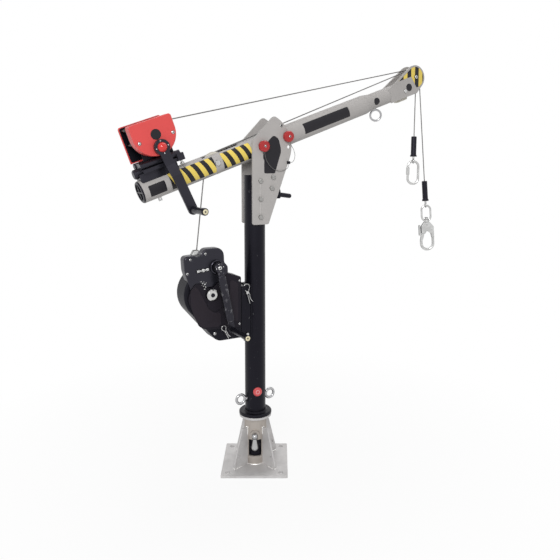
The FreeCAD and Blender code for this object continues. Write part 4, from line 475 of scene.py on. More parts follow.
# %% [markdown]
# ## Adding a piece
# Everything that is made below ends as a mesh whose points are already at their places in the CAD frame.
# One helper puts such a mesh in the scene and says which moving body carries it and which finish it belongs
# to. Two more keep a shape under construction, or what an object's modifiers make, as a plain mesh.

# %% Adding a piece
def add_piece(name, mesh, body, slot, *materials):
    """Put a finished mesh in the scene, riding on a body."""
    for material in materials:
        mesh.materials.append(material)
    piece = add_object(name, mesh)
    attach(piece, body)
    return piece


def kept_mesh(name, shape):
    """Keep a shape under construction as a mesh."""
    mesh = bpy.data.meshes.new(name)
    shape.to_mesh(mesh)
    shape.free()
    return mesh


def baked_mesh(thing):
    """Keep what an object's curve or modifiers make as a mesh, and throw the object away."""
    graph = bpy.context.evaluated_depsgraph_get()
    mesh = bpy.data.meshes.new_from_object(thing.evaluated_get(graph))
    thing.modifiers.clear()
    bpy.data.objects.remove(thing)
    return mesh


# %% [markdown]
# ## Flat sheets for films
# The boom carries striped hazard tape and several dark labels. Tape could be painted on the tube by a
# procedural mask, but a real film has an edge that catches the light, so each one is a thin sheet. It is
# drawn flat in millimetres, and cut into stripes and into strips for bending while it is flat.

# %% Flat sheets for films
BEND_STEP = 4.0


def cut_sheet(sheet, point, normal):
    """Cut all of a sheet along a plane, and keep both sides."""
    everything = sheet.verts[:] + sheet.edges[:] + sheet.faces[:]
    bmesh.ops.bisect_plane(sheet, geom=everything, plane_co=point, plane_no=normal)


def flat_sheet(outline):
    """A flat sheet with the given outline, in millimetres."""
    sheet = bmesh.new()
    sheet.faces.new([sheet.verts.new((u, v, 0.0)) for u, v in outline])
    return sheet


def cut_stripes(sheet, across, first, width):
    """Cut a flat sheet square to a direction; even stripes take material 0 and odd ones material 1."""
    normal = Vector((*across, 0.0))
    reach = [normal.dot(vert.co) for vert in sheet.verts]
    lowest = math.ceil((min(reach) - first) / width)
    highest = math.ceil((max(reach) - first) / width)
    for step in range(lowest, highest):
        cut_sheet(sheet, normal * ((first + step * width) / normal.length_squared), normal)
    for face in sheet.faces:
        stripe = math.floor((normal.dot(face.calc_center_median()) - first) / width)
        face.material_index = stripe % 2


def cut_for_bending(sheet):
    """Cut a flat sheet into strips that can follow a tube."""
    heights = [vert.co.y for vert in sheet.verts]
    height = min(heights) + BEND_STEP
    while height < max(heights):
        cut_sheet(sheet, Vector((0.0, height, 0.0)), Vector((0.0, 1.0, 0.0)))
        height += BEND_STEP


print("sheets bend in strips of", BEND_STEP, "mm")

# %% [markdown]
# ## Laying the films
# A flat sheet is laid on its surface by a function that gives each flat place its point, and a Solidify
# modifier thickens it outwards. The films themselves are smooth and hardly worn.

# %% Laying the films
FILM_THICKNESS = 0.4
FILM_GRAIN = (400.0, 0.1 * MM)
LABEL_GRAIN = (300.0, 0.1 * MM)
hazard_yellow = coated("hazard_yellow_film", (0.82, 0.63, 0.125), FILM_GRAIN, 0.4, mottle=0.04, gloss=0.4)
hazard_black = coated("hazard_black_film", (0.012, 0.0115, 0.015), FILM_GRAIN, 0.4, mottle=0.1, gloss=0.3)
label_black = coated("dark_label_film", (0.0105, 0.0095, 0.0135), LABEL_GRAIN, 0.36, mottle=0.12, gloss=0.3)


def lay_film(name, sheet, place, turned, thickness, *materials, body="mast", slot="black_plastic"):
    """Lay a flat sheet on its surface and give it a thickness; turned sheets face the far side."""
    for vert in sheet.verts:
        vert.co = place(vert.co.x, vert.co.y)
    if turned:
        bmesh.ops.reverse_faces(sheet, faces=sheet.faces[:])
    film = add_piece(name, kept_mesh(name, sheet), body, slot, *materials)
    skin = film.modifiers.new("thickness", "SOLIDIFY")
    skin.thickness = thickness * MM
    skin.offset = 1.0


def on_tube(radius, side):
    """Give the place on a tube of the boom's line for a flat place; side -1 is near, +1 far."""
    def place(u, v):
        return boom_point(u, radius * math.sin(v / radius), side * radius * math.cos(v / radius))
    return place


def on_boom_face(y):
    """Give the place on a face along the boom for a flat place."""
    return lambda u, v: boom_point(u, v, y)


def on_upright_face(y):
    """Give the place on an upright face for a flat place."""
    return lambda u, v: Vector((u, y, v)) * MM


print("film finishes:", hazard_yellow.name, hazard_black.name, label_black.name)

# %% [markdown]
# ## Hazard tape on the boom
# Two lengths of yellow and black tape mark the part of the boom that swings over people's heads, on both
# sides of the tube. The stripes lean forward, so the cuts follow a slanted direction on the flat sheet.

# %% Hazard tape on the boom
TUBE_RADIUS = 44.5
TAPE_TOP = 37.2
TAPE_FOOT = -34.3
STRIPE = 20.35
STRIPE_ACROSS = (1.0, 0.322)
TAPES = (("rear", -408.0, -211.0, -236.1), ("middle", -174.0, -37.0, -129.1))
SIDES = (("near", -1), ("far", 1))

for tape, start, end, first in TAPES:
    for side_name, side in SIDES:
        sheet = flat_sheet(((start, TAPE_FOOT), (end, TAPE_FOOT), (end, TAPE_TOP), (start, TAPE_TOP)))
        cut_stripes(sheet, STRIPE_ACROSS, first, STRIPE)
        cut_for_bending(sheet)
        lay_film(f"hazard_tape_{tape}_{side_name}", sheet, on_tube(TUBE_RADIUS, side), side > 0,
                 FILM_THICKNESS, hazard_yellow, hazard_black)
    print("tape", tape, "from", start, "to", end)

# %% [markdown]
# ## Outlines with round corners
# Labels, linings and panels have round corners. One helper turns each corner of an outline into an arc, so
# an outline needs only its corners and their radii.

# %% Outlines with round corners
CORNER_STEPS = 6
DISC_STEPS = 40


def rounded(corners):
    """Outline from corners (x, y, radius), each turned into an arc."""
    points = []
    for index, (x, y, radius) in enumerate(corners):
        here = Vector((x, y))
        back = (Vector(corners[index - 1][:2]) - here).normalized()
        ahead = (Vector(corners[(index + 1) % len(corners)][:2]) - here).normalized()
        half = back.angle(ahead) / 2
        centre = here + (back + ahead).normalized() * (radius / math.sin(half))
        first = here + back * (radius / math.tan(half)) - centre
        last = here + ahead * (radius / math.tan(half)) - centre
        sweep = math.atan2(first.x * last.y - first.y * last.x, first.dot(last))
        points += [centre + Matrix.Rotation(sweep * step / CORNER_STEPS, 2) @ first
                   for step in range(CORNER_STEPS + 1)]
    return points


def panel(left, right, foot, top, radius):
    """Outline of an upright panel with four round corners."""
    return rounded(((left, foot, radius), (right, foot, radius), (right, top, radius), (left, top, radius)))


def disc(x, y, radius):
    """Outline of a round label."""
    angles = [2 * math.pi * step / DISC_STEPS for step in range(DISC_STEPS)]
    return [(x + radius * math.cos(angle), y + radius * math.sin(angle)) for angle in angles]


print("arc steps:", CORNER_STEPS, "disc steps:", DISC_STEPS)

# %% [markdown]
# ## Bare labels
# The tube, the nose, the cheek and the head plate carry dark labels: bare films with a satin finish, some
# bent round a tube and some flat. The near head plate also has a folded crease below its pins, shown as a
# thin raised strip painted pale: a painted highlight for the light that the crease catches.

# %% Bare labels
LABEL_CORNER = 3
REAR_LABEL = panel(-498, -430, -27.8, 17.4, LABEL_CORNER)
BOOM_LABEL = panel(237, 493, -21.9, 26.5, LABEL_CORNER)
NOSE_LABEL = disc(667, -3, 17)
NOSE_RADIUS = 37.5
CONE_END = 655.0
CONE_SLOPE = 7.0 / 45.0
CHEEK_LABEL = disc(886, 2, 18)
CHEEK_FACE = -31.0
SHIELD_LABEL = rounded(((18.5, 1267, 7), (69.5, 1267, 7), (101, 1362, 50), (88, 1412, 30), (64, 1428, 16),
                        (40, 1404, 30), (14, 1352, 8), (14, 1329, 3), (18.5, 1322, 3)))
HEAD_FACE = -52.5
CREASE = panel(-1.3, 1.3, 1098, 1223, 1)
CREASE_HEIGHT = 0.8
CREASE_GRAIN = (700.0, 0.2 * MM)
CREASE_HIGHLIGHT_GAIN = 1.35
# The crease strip is lighter than the plate: a painted highlight.
crease_painted_highlight = coated("crease_painted_highlight", opaque(GREY, CREASE_HIGHLIGHT_GAIN)[:3], CREASE_GRAIN, 0.45, mottle=0.03,
                     gloss=0.3)


def on_nose(u, v):
    """The near side of the nose, whose radius grows where its cone meets the tube."""
    radius = NOSE_RADIUS + CONE_SLOPE * max(0.0, CONE_END - u)
    return on_tube(radius, -1)(u, v)


for name, outline, place in (("rear_label", REAR_LABEL, on_tube(TUBE_RADIUS, -1)),
                             ("boom_label", BOOM_LABEL, on_tube(TUBE_RADIUS, -1)),
                             ("nose_label", NOSE_LABEL, on_nose)):
    sheet = flat_sheet(outline)
    cut_for_bending(sheet)
    cut_sheet(sheet, Vector((CONE_END, 0.0, 0.0)), Vector((1.0, 0.0, 0.0)))
    lay_film(name, sheet, place, False, FILM_THICKNESS, label_black)
for name, outline, place in (("shield_label", SHIELD_LABEL, on_upright_face(HEAD_FACE)),
                             ("cheek_label", CHEEK_LABEL, on_boom_face(CHEEK_FACE))):
    lay_film(name, flat_sheet(outline), place, False, FILM_THICKNESS, label_black)
lay_film("plate_crease", flat_sheet(CREASE), on_upright_face(HEAD_FACE), False, CREASE_HEIGHT, crease_painted_highlight)
print("bare labels made, the shield with", len(SHIELD_LABEL), "corners")

# %% [markdown]
# ## Striped cheeks
# The boom's tip has a striped band round the rim of each cheek plate. The stripes stand upright in the
# world although the cheek leans with the boom, so the cutting direction is the world's X as the boom sees
# it. The band's outline follows the round end of the cheek at a constant margin.

# %% Striped cheeks
TIP_ALONG = 943.0
TIP_RISE = 37.0
BAND_RADIUS = 49.0
BAND_FOOT = 47.0
BAND_INNER = 915.0
BAND_TOP_ANGLE = 110.9
BAND_LOW_ANGLE = -103.5
CHEEK_STRIPE = 24.3
CHEEK_FIRST = 795.0

band_angles = [math.radians(BAND_LOW_ANGLE + (BAND_TOP_ANGLE - BAND_LOW_ANGLE) * step / DISC_STEPS)
               for step in range(DISC_STEPS + 1)]
band = [(TIP_ALONG + BAND_RADIUS * math.cos(angle), TIP_RISE + BAND_RADIUS * math.sin(angle))
        for angle in band_angles]
top_along, top_rise = band[-1]
slope = math.tan(math.radians(BAND_TOP_ANGLE - 90.0))
band += [(top_along - (top_rise - BAND_FOOT) / slope, BAND_FOOT), (BAND_INNER, BAND_FOOT)]
world_across = (math.cos(BOOM_ANGLE), -math.sin(BOOM_ANGLE))
for side_name, side in SIDES:
    sheet = flat_sheet(band)
    cut_stripes(sheet, world_across, CHEEK_FIRST, CHEEK_STRIPE)
    lay_film(f"cheek_stripes_{side_name}", sheet, on_boom_face(-side * CHEEK_FACE), side > 0,
             FILM_THICKNESS, hazard_yellow, hazard_black)
print("cheek band corners:", len(band))

# %% [markdown]
# ## Winch plates
# The inner face of the winch's far plate gets a thin black lining with a red rim left round it. A dark
# round plate sits on the cover just above the crank's boss.

# %% Winch plates
FAR_LINING = panel(-500, -330, 111, 248, 7)
LINING_FACE = 51.0
COVER_DISC = disc(-408, 190.5, 20)
COVER_DISC_THICKNESS = 1.2
COVER_FACE = -70.0

lay_film("winch_lining", flat_sheet(FAR_LINING), on_boom_face(LINING_FACE), False, FILM_THICKNESS,
         finishes["black_coat"])
lay_film("winch_cover_disc", flat_sheet(COVER_DISC), on_boom_face(COVER_FACE), False, COVER_DISC_THICKNESS,
         label_black)
print("winch lining and disc made")

# %% [markdown]
# ## Panels of the retrieval block
# The block's cover has two shallow raised panels in a duller, brownish moulding, one on each side of the
# strap that carries the crank. Beside the strap the black has been rubbed off, so a few pale chips lie on
# the face. Each chip is a five-cornered flake whose corners reach out unevenly.

# %% Panels of the retrieval block
BLOCK_FACE = -52.0
PANEL_HEIGHT = 1.0
LEFT_PANEL = ((-313, 806, 12), (-313, 752, 60), (-297, 692, 60), (-266, 650, 20), (-184, 645, 14),
              (-184, 706, 14), (-212, 704, 20), (-240, 730, 26), (-290, 826, 12))
RIGHT_PANEL = ((-146, 660, 10), (-106, 656, 10), (-106, 816, 10), (-142, 838, 10))
CHIPS = ((-268, 838, 2.8), (-262, 831, 3.8), (-257, 836, 2.2), (-252, 826, 4.6), (-258, 819, 2.6),
         (-249, 815, 3.4), (-264, 824, 1.8), (-253, 807, 3.2), (-246, 832, 1.8))
CHIP_CORNERS = 5
CHIP_REACH = 0.85
CHIP_UNEVEN = 0.25
CHIP_DRIFT = 1.7
CHIP_THICKNESS = FILM_THICKNESS / 4
panel_moulding = black_moulding("panel_moulding", (0.0205, 0.0165, 0.0205), MATT_GRAIN, 0.62, 0.2)
chipped_pale = coated("chipped_pale", (0.55, 0.55, 0.55), SATIN, 0.6, mottle=0.3)

for name, corners in (("left_cover_panel", LEFT_PANEL), ("right_cover_panel", RIGHT_PANEL)):
    lay_film(name, flat_sheet(rounded(corners)), on_upright_face(BLOCK_FACE), False, PANEL_HEIGHT,
             panel_moulding)
flakes = bmesh.new()
for count, (x, z, size) in enumerate(CHIPS):
    turns = [2 * math.pi * corner / CHIP_CORNERS + count for corner in range(CHIP_CORNERS)]
    reach = [size * (CHIP_REACH + CHIP_UNEVEN * math.cos(2 * turn + CHIP_DRIFT * count)) for turn in turns]
    flakes.faces.new([flakes.verts.new((x + far * math.cos(turn), z + far * math.sin(turn), 0.0))
                      for turn, far in zip(turns, reach)])
lay_film("rubbed_chips", flakes, on_upright_face(BLOCK_FACE), False, CHIP_THICKNESS, chipped_pale)
print("panels and", len(CHIPS), "chips made")

# %% [markdown]
# ## Softened mouldings
# The retrieval block's head and case are moulded, and no moulding has knife edges. Each solid is copied and
# its loose triangles are merged. A Remesh modifier gives it an even skin, and a Smooth modifier then rolls
# its edges over. The flat faces stay where they are, so the screws and the crank still sit on them.
# Smoothing also draws holes in, so a Boolean modifier opens the hole for the crank's shaft again.

# %% Softened mouldings
MERGE_REACH = 0.01 * MM
SKIN_STEP = 2.5 * MM
SMOOTH_SHARE = 0.5
HEAD_PASSES = 16
CASE_PASSES = 8
SHAFT_BORE_R = 8.5 * MM
SHAFT_BORE_LENGTH = 60 * MM
SHAFT_BORE_Y = -58
CRANK_X = -202
CRANK_Z = 893

bore = bmesh.new()
bore_middle = Matrix.Translation(Vector((CRANK_X, SHAFT_BORE_Y, CRANK_Z)) * MM)
bmesh.ops.create_cone(bore, cap_ends=True, segments=DISC_STEPS, radius1=SHAFT_BORE_R, radius2=SHAFT_BORE_R,
                      depth=SHAFT_BORE_LENGTH, matrix=bore_middle @ Matrix.Rotation(math.pi / 2, 4, "X"))
shaft_bore = add_object("shaft_bore", kept_mesh("shaft_bore", bore))


def soften(node, look, passes):
    """Replace a moulding on the mast by a copy with its edges rolled over; more passes roll them further."""
    shape = bmesh.new()
    shape.from_mesh(frame["nodes"][node].data)
    bmesh.ops.remove_doubles(shape, verts=shape.verts[:], dist=MERGE_REACH)
    seed = add_object(node + "_seed", kept_mesh(node + "_sharp", shape))
    skin = seed.modifiers.new("even skin", "REMESH")
    skin.mode = "VOXEL"
    skin.voxel_size = SKIN_STEP
    rolled = seed.modifiers.new("rolled edges", "SMOOTH")
    rolled.factor = SMOOTH_SHARE
    rolled.iterations = passes
    opened = seed.modifiers.new("shaft bore", "BOOLEAN")
    opened.operation = "DIFFERENCE"
    opened.object = shaft_bore
    mesh = baked_mesh(seed)
    mesh.materials.clear()
    mesh.shade_smooth()
    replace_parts(add_piece(node + "_moulding", mesh, "mast", "black_plastic", look), node)
    print(node, "faces:", len(mesh.polygons))


# The head's satin black is lighter than the case's: a painted highlight.
soften("retriever_head", satin_black_with_painted_highlight, HEAD_PASSES)
soften("retriever_case", dull_case, CASE_PASSES)
bpy.data.objects.remove(shaft_bore)

# %% [markdown]
# ## Growing pieces with Geometry Nodes
# Strands, weld ripples and screws repeat along a path or over a set of places, which is what Geometry Nodes
# are for. Each tree below takes a bare mesh as its seed, a line or a few points, and sizes as named inputs.
# The helper sets the inputs by their identifiers, evaluates the seed once, and keeps the result as a plain
# mesh; the seed and its modifier are then thrown away.

# %% Growing pieces with Geometry Nodes
def new_growth(name, sizes, switches=(), finish_inputs=("Finish",)):
    """Start a tree with named inputs; returns the tree and the outputs of its input node."""
    tree = bpy.data.node_groups.new(name, "GeometryNodeTree")
    tree.interface.new_socket("Geometry", in_out="INPUT", socket_type="NodeSocketGeometry")
    for kind, labels in (("Float", sizes), ("Bool", switches), ("Material", finish_inputs)):
        for label in labels:
            tree.interface.new_socket(label, in_out="INPUT", socket_type="NodeSocket" + kind)
    tree.interface.new_socket("Geometry", in_out="OUTPUT", socket_type="NodeSocketGeometry")
    return tree, add_node(tree, "NodeGroupInput").outputs


def walked(tree, lines, step):
    """Turn a seed's lines into curves with a point at every step."""
    curves = made_by(tree, "GeometryNodeMeshToCurve", {"Mesh": lines})
    return made_by(tree, "GeometryNodeResampleCurve", {"Curve": curves, "Length": step}, mode="LENGTH")


def end_growth(tree, geometry, finish):
    """End a tree: smooth faces, real instances, one finish."""
    smooth = made_by(tree, "GeometryNodeSetShadeSmooth", {"Geometry": geometry, "Shade Smooth": True})
    real = made_by(tree, "GeometryNodeRealizeInstances", {"Geometry": smooth})
    return made_by(tree, "GeometryNodeSetMaterial", {"Geometry": real, "Material": finish})


def grow(name, tree, seed_mesh, inputs):
    """Run a tree on a seed mesh and keep the result as a plain mesh."""
    seed = add_object(name + "_seed", seed_mesh)
    growth = seed.modifiers.new("growth", "NODES")
    growth.node_group = tree
    for item in tree.interface.items_tree:
        if item.in_out == "INPUT" and item.name in inputs:
            growth[item.identifier] = inputs[item.name]
    mesh = baked_mesh(seed)
    mesh.name = name
    print(name, "faces:", len(mesh.polygons))
    return mesh


def line_seed(name, lines):
    """A bare mesh of open lines, each a list of points in metres."""
    points = []
    edges = []
    for line in lines:
        edges += [(len(points) + step, len(points) + step + 1) for step in range(len(line) - 1)]
        points += line
    mesh = bpy.data.meshes.new(name)
    mesh.from_pydata(points, edges, [])
    return mesh


print("growth helpers:", [helper.__name__ for helper in (new_growth, walked, end_growth, grow, line_seed)])

# %% [markdown]
# ## A rope of six strands
# Wire rope is six strands laid round a core. Modelling each strand as a helix would take six long tubes;
# one tube with a six-lobed section that turns as it goes has the same outside and a sixth of the faces. The
# tree resamples the path, tilts it by its length, and sweeps the lobed section along it.

# %% A rope of six strands
STRANDS = 6
SECTION_POINTS = 24
LOBE_DEPTH = 0.22

rope_tree, given = new_growth("stranded_rope", ("Rope Radius", "Lay Length", "Step"))
path = walked(rope_tree, given["Geometry"], given["Step"])
run = made_by(rope_tree, "GeometryNodeSplineParameter", output="Length")
turns = figure(rope_tree, "DIVIDE", run, given["Lay Length"])
tilt = figure(rope_tree, "MULTIPLY", turns, 2 * math.pi)
path = made_by(rope_tree, "GeometryNodeSetCurveTilt", {"Curve": path, "Tilt": tilt})
circle = made_by(rope_tree, "GeometryNodeCurvePrimitiveCircle",
                 {"Resolution": SECTION_POINTS, "Radius": given["Rope Radius"]})
round_share = made_by(rope_tree, "GeometryNodeSplineParameter", output="Factor")
wave = figure(rope_tree, "COSINE", figure(rope_tree, "MULTIPLY", round_share, STRANDS * math.pi))
dent = figure(rope_tree, "MULTIPLY", figure(rope_tree, "ABSOLUTE", wave), LOBE_DEPTH)
swell = figure(rope_tree, "ADD", dent, 1.0 - LOBE_DEPTH)
spot = made_by(rope_tree, "GeometryNodeInputPosition")
lobed = made_by(rope_tree, "ShaderNodeVectorMath", {"Vector": spot, "Scale": swell}, operation="SCALE")
section = made_by(rope_tree, "GeometryNodeSetPosition", {"Geometry": circle, "Position": lobed})
rope = made_by(rope_tree, "GeometryNodeCurveToMesh",
               {"Curve": path, "Profile Curve": section, "Fill Caps": True})
add_node(rope_tree, "NodeGroupOutput", {"Geometry": end_growth(rope_tree, rope, given["Finish"])})
print("rope tree nodes:", len(rope_tree.nodes))

# %% [markdown]
# ## Ropes over wheels
# A taut rope is straight between its wheels and an arc on each of them. So a path is worked out from the
# wheels' centres and from bearings, the directions of its straight runs. Both ropes end in a tail that
# hangs from the tip and leans a little.

# %% Ropes over wheels
ROPE_D = 5.0
ROPE_LAY = 33.0
ROPE_STEP = 2.5
ROPE_SIDE = 11.5
SHEAVE_R = 41.0
ARC_STEP = math.radians(5.0)
QUARTER = math.pi / 2
tip_centre = boom_point(TIP_ALONG, TIP_RISE)


def bearing(heading):
    """Direction of a straight run, as an angle in the boom's upright plane."""
    return math.atan2(heading.z, heading.x)


def towards(angle):
    """The heading that has a bearing."""
    return Vector((math.cos(angle), 0.0, math.sin(angle)))


def wheel_point(centre, radius, angle):
    """A place on a wheel's rim."""
    return centre + towards(angle) * (radius * MM)


def over_wheel(centre, radius, arrive, leave):
    """Points over a wheel, from one rope bearing to another, clockwise."""
    steps = math.ceil((arrive - leave) / ARC_STEP)
    return [wheel_point(centre, radius, arrive + (leave - arrive) * step / steps + QUARTER)
            for step in range(steps + 1)]


def hanging_end(lean, height):
    """Bearing of a rope's tail that hangs from the tip and leans, and its last point."""
    heading = Vector((math.sin(math.radians(lean)), 0.0, -math.cos(math.radians(lean))))
    start = wheel_point(tip_centre, SHEAVE_R, bearing(heading) + QUARTER)
    return bearing(heading), start + heading * ((height - start.z) / heading.z)


def sideways(points, y):
    """The same points, moved along Y by millimetres."""
    return [point + Vector((0.0, y * MM, 0.0)) for point in points]


def add_rope(node, line, y):
    """Replace a plain rope on the mast by strands along a line."""
    seed = line_seed(node + "_path", [sideways(line, y)])
    mesh = grow(node + "_strands", rope_tree, seed,
                {"Rope Radius": ROPE_D / 2 * MM, "Lay Length": ROPE_LAY * MM, "Step": ROPE_STEP * MM,
                 "Finish": finishes["wire_rope"]})
    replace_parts(add_piece(node + "_strands", mesh, "mast", "wire_rope"), node)


print("the ropes turn over the tip at", [round(v, 3) for v in tip_centre])

# %% [markdown]
# ## The hoist rope
# The hoist rope leaves the winch drum, runs above the boom to the tip and hangs down to its stop. Its turns
# on the drum are a helix that ends where the straight run starts.

# %% The hoist rope
DRUM_R = 44.0
DRUM_END = 43.4
DRUM_PITCH = 5.1
HOIST_LEAN = -1.0
HOIST_END = 1447 * MM
drum_centre = boom_point(-408, 190)

span = tip_centre - drum_centre
hoist_bearing = bearing(span) + math.asin((SHEAVE_R - DRUM_R) * MM / span.length)
hoist_tail, hoist_last = hanging_end(HOIST_LEAN, HOIST_END)
wound = 2 * math.pi * (DRUM_END - ROPE_SIDE) / DRUM_PITCH
wound_steps = math.ceil(wound / ARC_STEP)
hoist = []
for step in range(wound_steps, -1, -1):
    back = wound * step / wound_steps
    spot = wheel_point(drum_centre, DRUM_R, hoist_bearing + QUARTER + back)
    hoist += sideways([spot], DRUM_PITCH * back / (2 * math.pi))
hoist += over_wheel(tip_centre, SHEAVE_R, hoist_bearing, hoist_tail) + [hoist_last]
add_rope("hoist_rope", hoist, ROPE_SIDE)

# %% [markdown]
# ## The retrieval rope
# The retrieval rope comes up from the block on the mast, goes over a sheave in the boom, along the boom and
# over the tip, and hangs down to its stop beside the hoist rope.

# %% The retrieval rope
RETRIEVER_LEAN = 5.5
RETRIEVER_END = 1223 * MM
GUIDE_LIFT = 8 * MM
sheave_centre = boom_point(-199, 3)
rope_guide = Vector((-272, 0, 940)) * MM

lift = sheave_centre - rope_guide
lift_bearing = bearing(lift) + math.asin(SHEAVE_R * MM / lift.length)
boom_bearing = bearing(tip_centre - sheave_centre)
retrieval_tail, retrieval_last = hanging_end(RETRIEVER_LEAN, RETRIEVER_END)
retrieval = [rope_guide + towards(lift_bearing) * GUIDE_LIFT]
retrieval += over_wheel(sheave_centre, SHEAVE_R, lift_bearing, boom_bearing)
retrieval += over_wheel(tip_centre, SHEAVE_R, boom_bearing, retrieval_tail) + [retrieval_last]
add_rope("retriever_rope", retrieval, -ROPE_SIDE)

# %% [markdown]
# ## A weld bead
# The base is a weldment: its gussets and sleeve are joined to the plate by fillet welds, whose beads show
# as bright rippled lines: their metal is painted lighter than the steel, a painted highlight for the light
# the ripples catch. The tree walks along each line and sets one small ball at every ripple.

# %% A weld bead
BEAD_R = 3.3
BEAD_STEP = 2.4
BALL_SEGMENTS = 8
BALL_RINGS = 6
# Weld metal painted much lighter than the steel: partly a painted highlight.
weld_metal_with_painted_highlight = metal("weld_metal_with_painted_highlight", (0.86, 0.85, 0.83), PLATED, 0.26)

bead_tree, given = new_growth("weld_bead", ("Bead Radius", "Ripple"))
ball = made_by(bead_tree, "GeometryNodeMeshUVSphere",
               {"Segments": BALL_SEGMENTS, "Rings": BALL_RINGS, "Radius": given["Bead Radius"]})
beads = made_by(bead_tree, "GeometryNodeInstanceOnPoints",
                {"Points": walked(bead_tree, given["Geometry"], given["Ripple"]), "Instance": ball})
add_node(bead_tree, "NodeGroupOutput", {"Geometry": end_growth(bead_tree, beads, given["Finish"])})


def add_welds(name, seams, body, slot, look):
    """Lay weld beads along lines of points in metres."""
    mesh = grow(name, bead_tree, line_seed(name + "_seams", seams),
                {"Bead Radius": BEAD_R * MM, "Ripple": BEAD_STEP * MM, "Finish": look})
    add_piece(name, mesh, body, slot)


print("bead tree nodes:", len(bead_tree.nodes))

# %% [markdown]
# ## Where the welds are
# Each of the four gussets is stitched to the plate at its toe and to the sleeve near its top, and the
# sleeve is welded all round at its foot and under its flange. The bracket of the retrieval block has a
# painted seam along each side, down the mast.

# %% Where the welds are
BASE_TURN = math.radians(-30.0)
GUSSETS = 4
FIRST_GUSSET = math.radians(45.0)
PLATE_TOP = 10.0
SLEEVE_R = 48.0
GUSSET_HALF = 4.0
GUSSET_REACH = 122.0
GUSSET_TOP = 172.0
FOOT_STITCH = 82.0
SIDE_STITCH = 142.0
FLANGE_FOOT = 215.0
BRACKET_SEAM_X = -33.5
BRACKET_SEAM_Y = 31.0
BRACKET_FOOT = 562.0
BRACKET_TOP = 798.0


def base_point(radial, across, z, turn):
    """A place beside a gusset, from the mast's line outwards, in metres."""
    return Matrix.Rotation(BASE_TURN + turn, 3, "Z") @ Vector((radial, across, z)) * MM


def ring_line(radius, z):
    """A closed line round the mast's own line, in metres."""
    angles = [2 * math.pi * step / DISC_STEPS for step in range(DISC_STEPS + 1)]
    return [Vector((radius * math.cos(angle), radius * math.sin(angle), z)) * MM for angle in angles]


base_seams = [ring_line(SLEEVE_R, PLATE_TOP), ring_line(SLEEVE_R, FLANGE_FOOT)]
for gusset in range(GUSSETS):
    turn = FIRST_GUSSET + 2 * math.pi * gusset / GUSSETS
    edges = (-GUSSET_HALF, GUSSET_HALF)
    base_seams.append([base_point(GUSSET_REACH, edge, PLATE_TOP, turn) for edge in edges])
    for edge in edges:
        base_seams.append([base_point(reach, edge, PLATE_TOP, turn) for reach in (FOOT_STITCH, GUSSET_REACH)])
        base_seams.append([base_point(SLEEVE_R, edge, z, turn) for z in (SIDE_STITCH, GUSSET_TOP)])
bracket_seams = [[Vector((BRACKET_SEAM_X, y, z)) * MM for z in (BRACKET_FOOT, BRACKET_TOP)]
                 for y in (-BRACKET_SEAM_Y, BRACKET_SEAM_Y)]
add_welds("base_welds", base_seams, "base", "stainless_steel", weld_metal_with_painted_highlight)
add_welds("bracket_welds", bracket_seams, "mast", "black_coat", finishes["black_coat"])

# %% [markdown]
# ## A domed screw head
# Screw and rivet heads repeat all over the davit in a few sizes, so one tree makes them all. A short
# cylinder is the head, and its upper points sink with the square of their distance from the middle, which
# domes it. A dark hexagon that stands a hair proud of the dome paints in the shade of a socket, and a switch
# leaves it out of rivets.

# %% A domed screw head
HEAD_SIDES = 20
DOME_RINGS = 3
DOME_SHARE = 0.35
SOCKET_SIDES = 6
SOCKET_LIFT = 0.02

screw_tree, given = new_growth("screw_heads", ("Head Radius", "Head Height", "Socket Radius"), ("Socketed",),
                               ("Finish", "Socket Shade Finish"))


def raised(share):
    """A vector up the screw's axis, by a share of the head's height."""
    return made_by(screw_tree, "ShaderNodeCombineXYZ",
                   {"Z": figure(screw_tree, "MULTIPLY", given["Head Height"], share)})


stud = made_by(screw_tree, "GeometryNodeMeshCylinder",
               {"Vertices": HEAD_SIDES, "Fill Segments": DOME_RINGS, "Radius": given["Head Radius"],
                "Depth": given["Head Height"]}, fill_type="NGON")
where = made_by(screw_tree, "GeometryNodeInputPosition")
axes = add_node(screw_tree, "ShaderNodeSeparateXYZ", {"Vector": where}).outputs
level = made_by(screw_tree, "ShaderNodeCombineXYZ", {"X": axes["X"], "Y": axes["Y"]})
outward = made_by(screw_tree, "ShaderNodeVectorMath", {0: level}, output="Value", operation="LENGTH")
share = figure(screw_tree, "DIVIDE", outward, given["Head Radius"])
sunk = figure(screw_tree, "MULTIPLY", figure(screw_tree, "MULTIPLY", share, share), -DOME_SHARE)
upper = made_by(screw_tree, "FunctionNodeCompare", {"A": axes["Z"], "B": 0.0}, operation="GREATER_THAN")
domed = made_by(screw_tree, "GeometryNodeSetPosition",
                {"Geometry": stud, "Selection": upper, "Offset": raised(sunk)})
# A dark hexagon: painted shade for the socket's recess.
hexagon = made_by(screw_tree, "GeometryNodeMeshCylinder",
                  {"Vertices": SOCKET_SIDES, "Radius": given["Socket Radius"], "Depth": given["Head Height"]})
marked = made_by(screw_tree, "GeometryNodeStoreNamedAttribute",
                 {"Geometry": hexagon, "Name": "socket", "Value": True}, data_type="BOOLEAN", domain="FACE")
socket = made_by(screw_tree, "GeometryNodeTransform",
                 {"Geometry": marked, "Translation": raised(SOCKET_LIFT)})
chosen = made_by(screw_tree, "GeometryNodeSwitch", {"Switch": given["Socketed"], "True": socket},
                 input_type="GEOMETRY")
print("screw head nodes:", len(screw_tree.nodes))

# %% [markdown]
# ## Setting the screws
# The rest of the tree joins head and socket, seats them on their foot, and sets a copy on every seed point,
# turned to the direction that the point carries. The socket's faces are marked, so they get a dark finish
# of their own, painted shade for the recess.

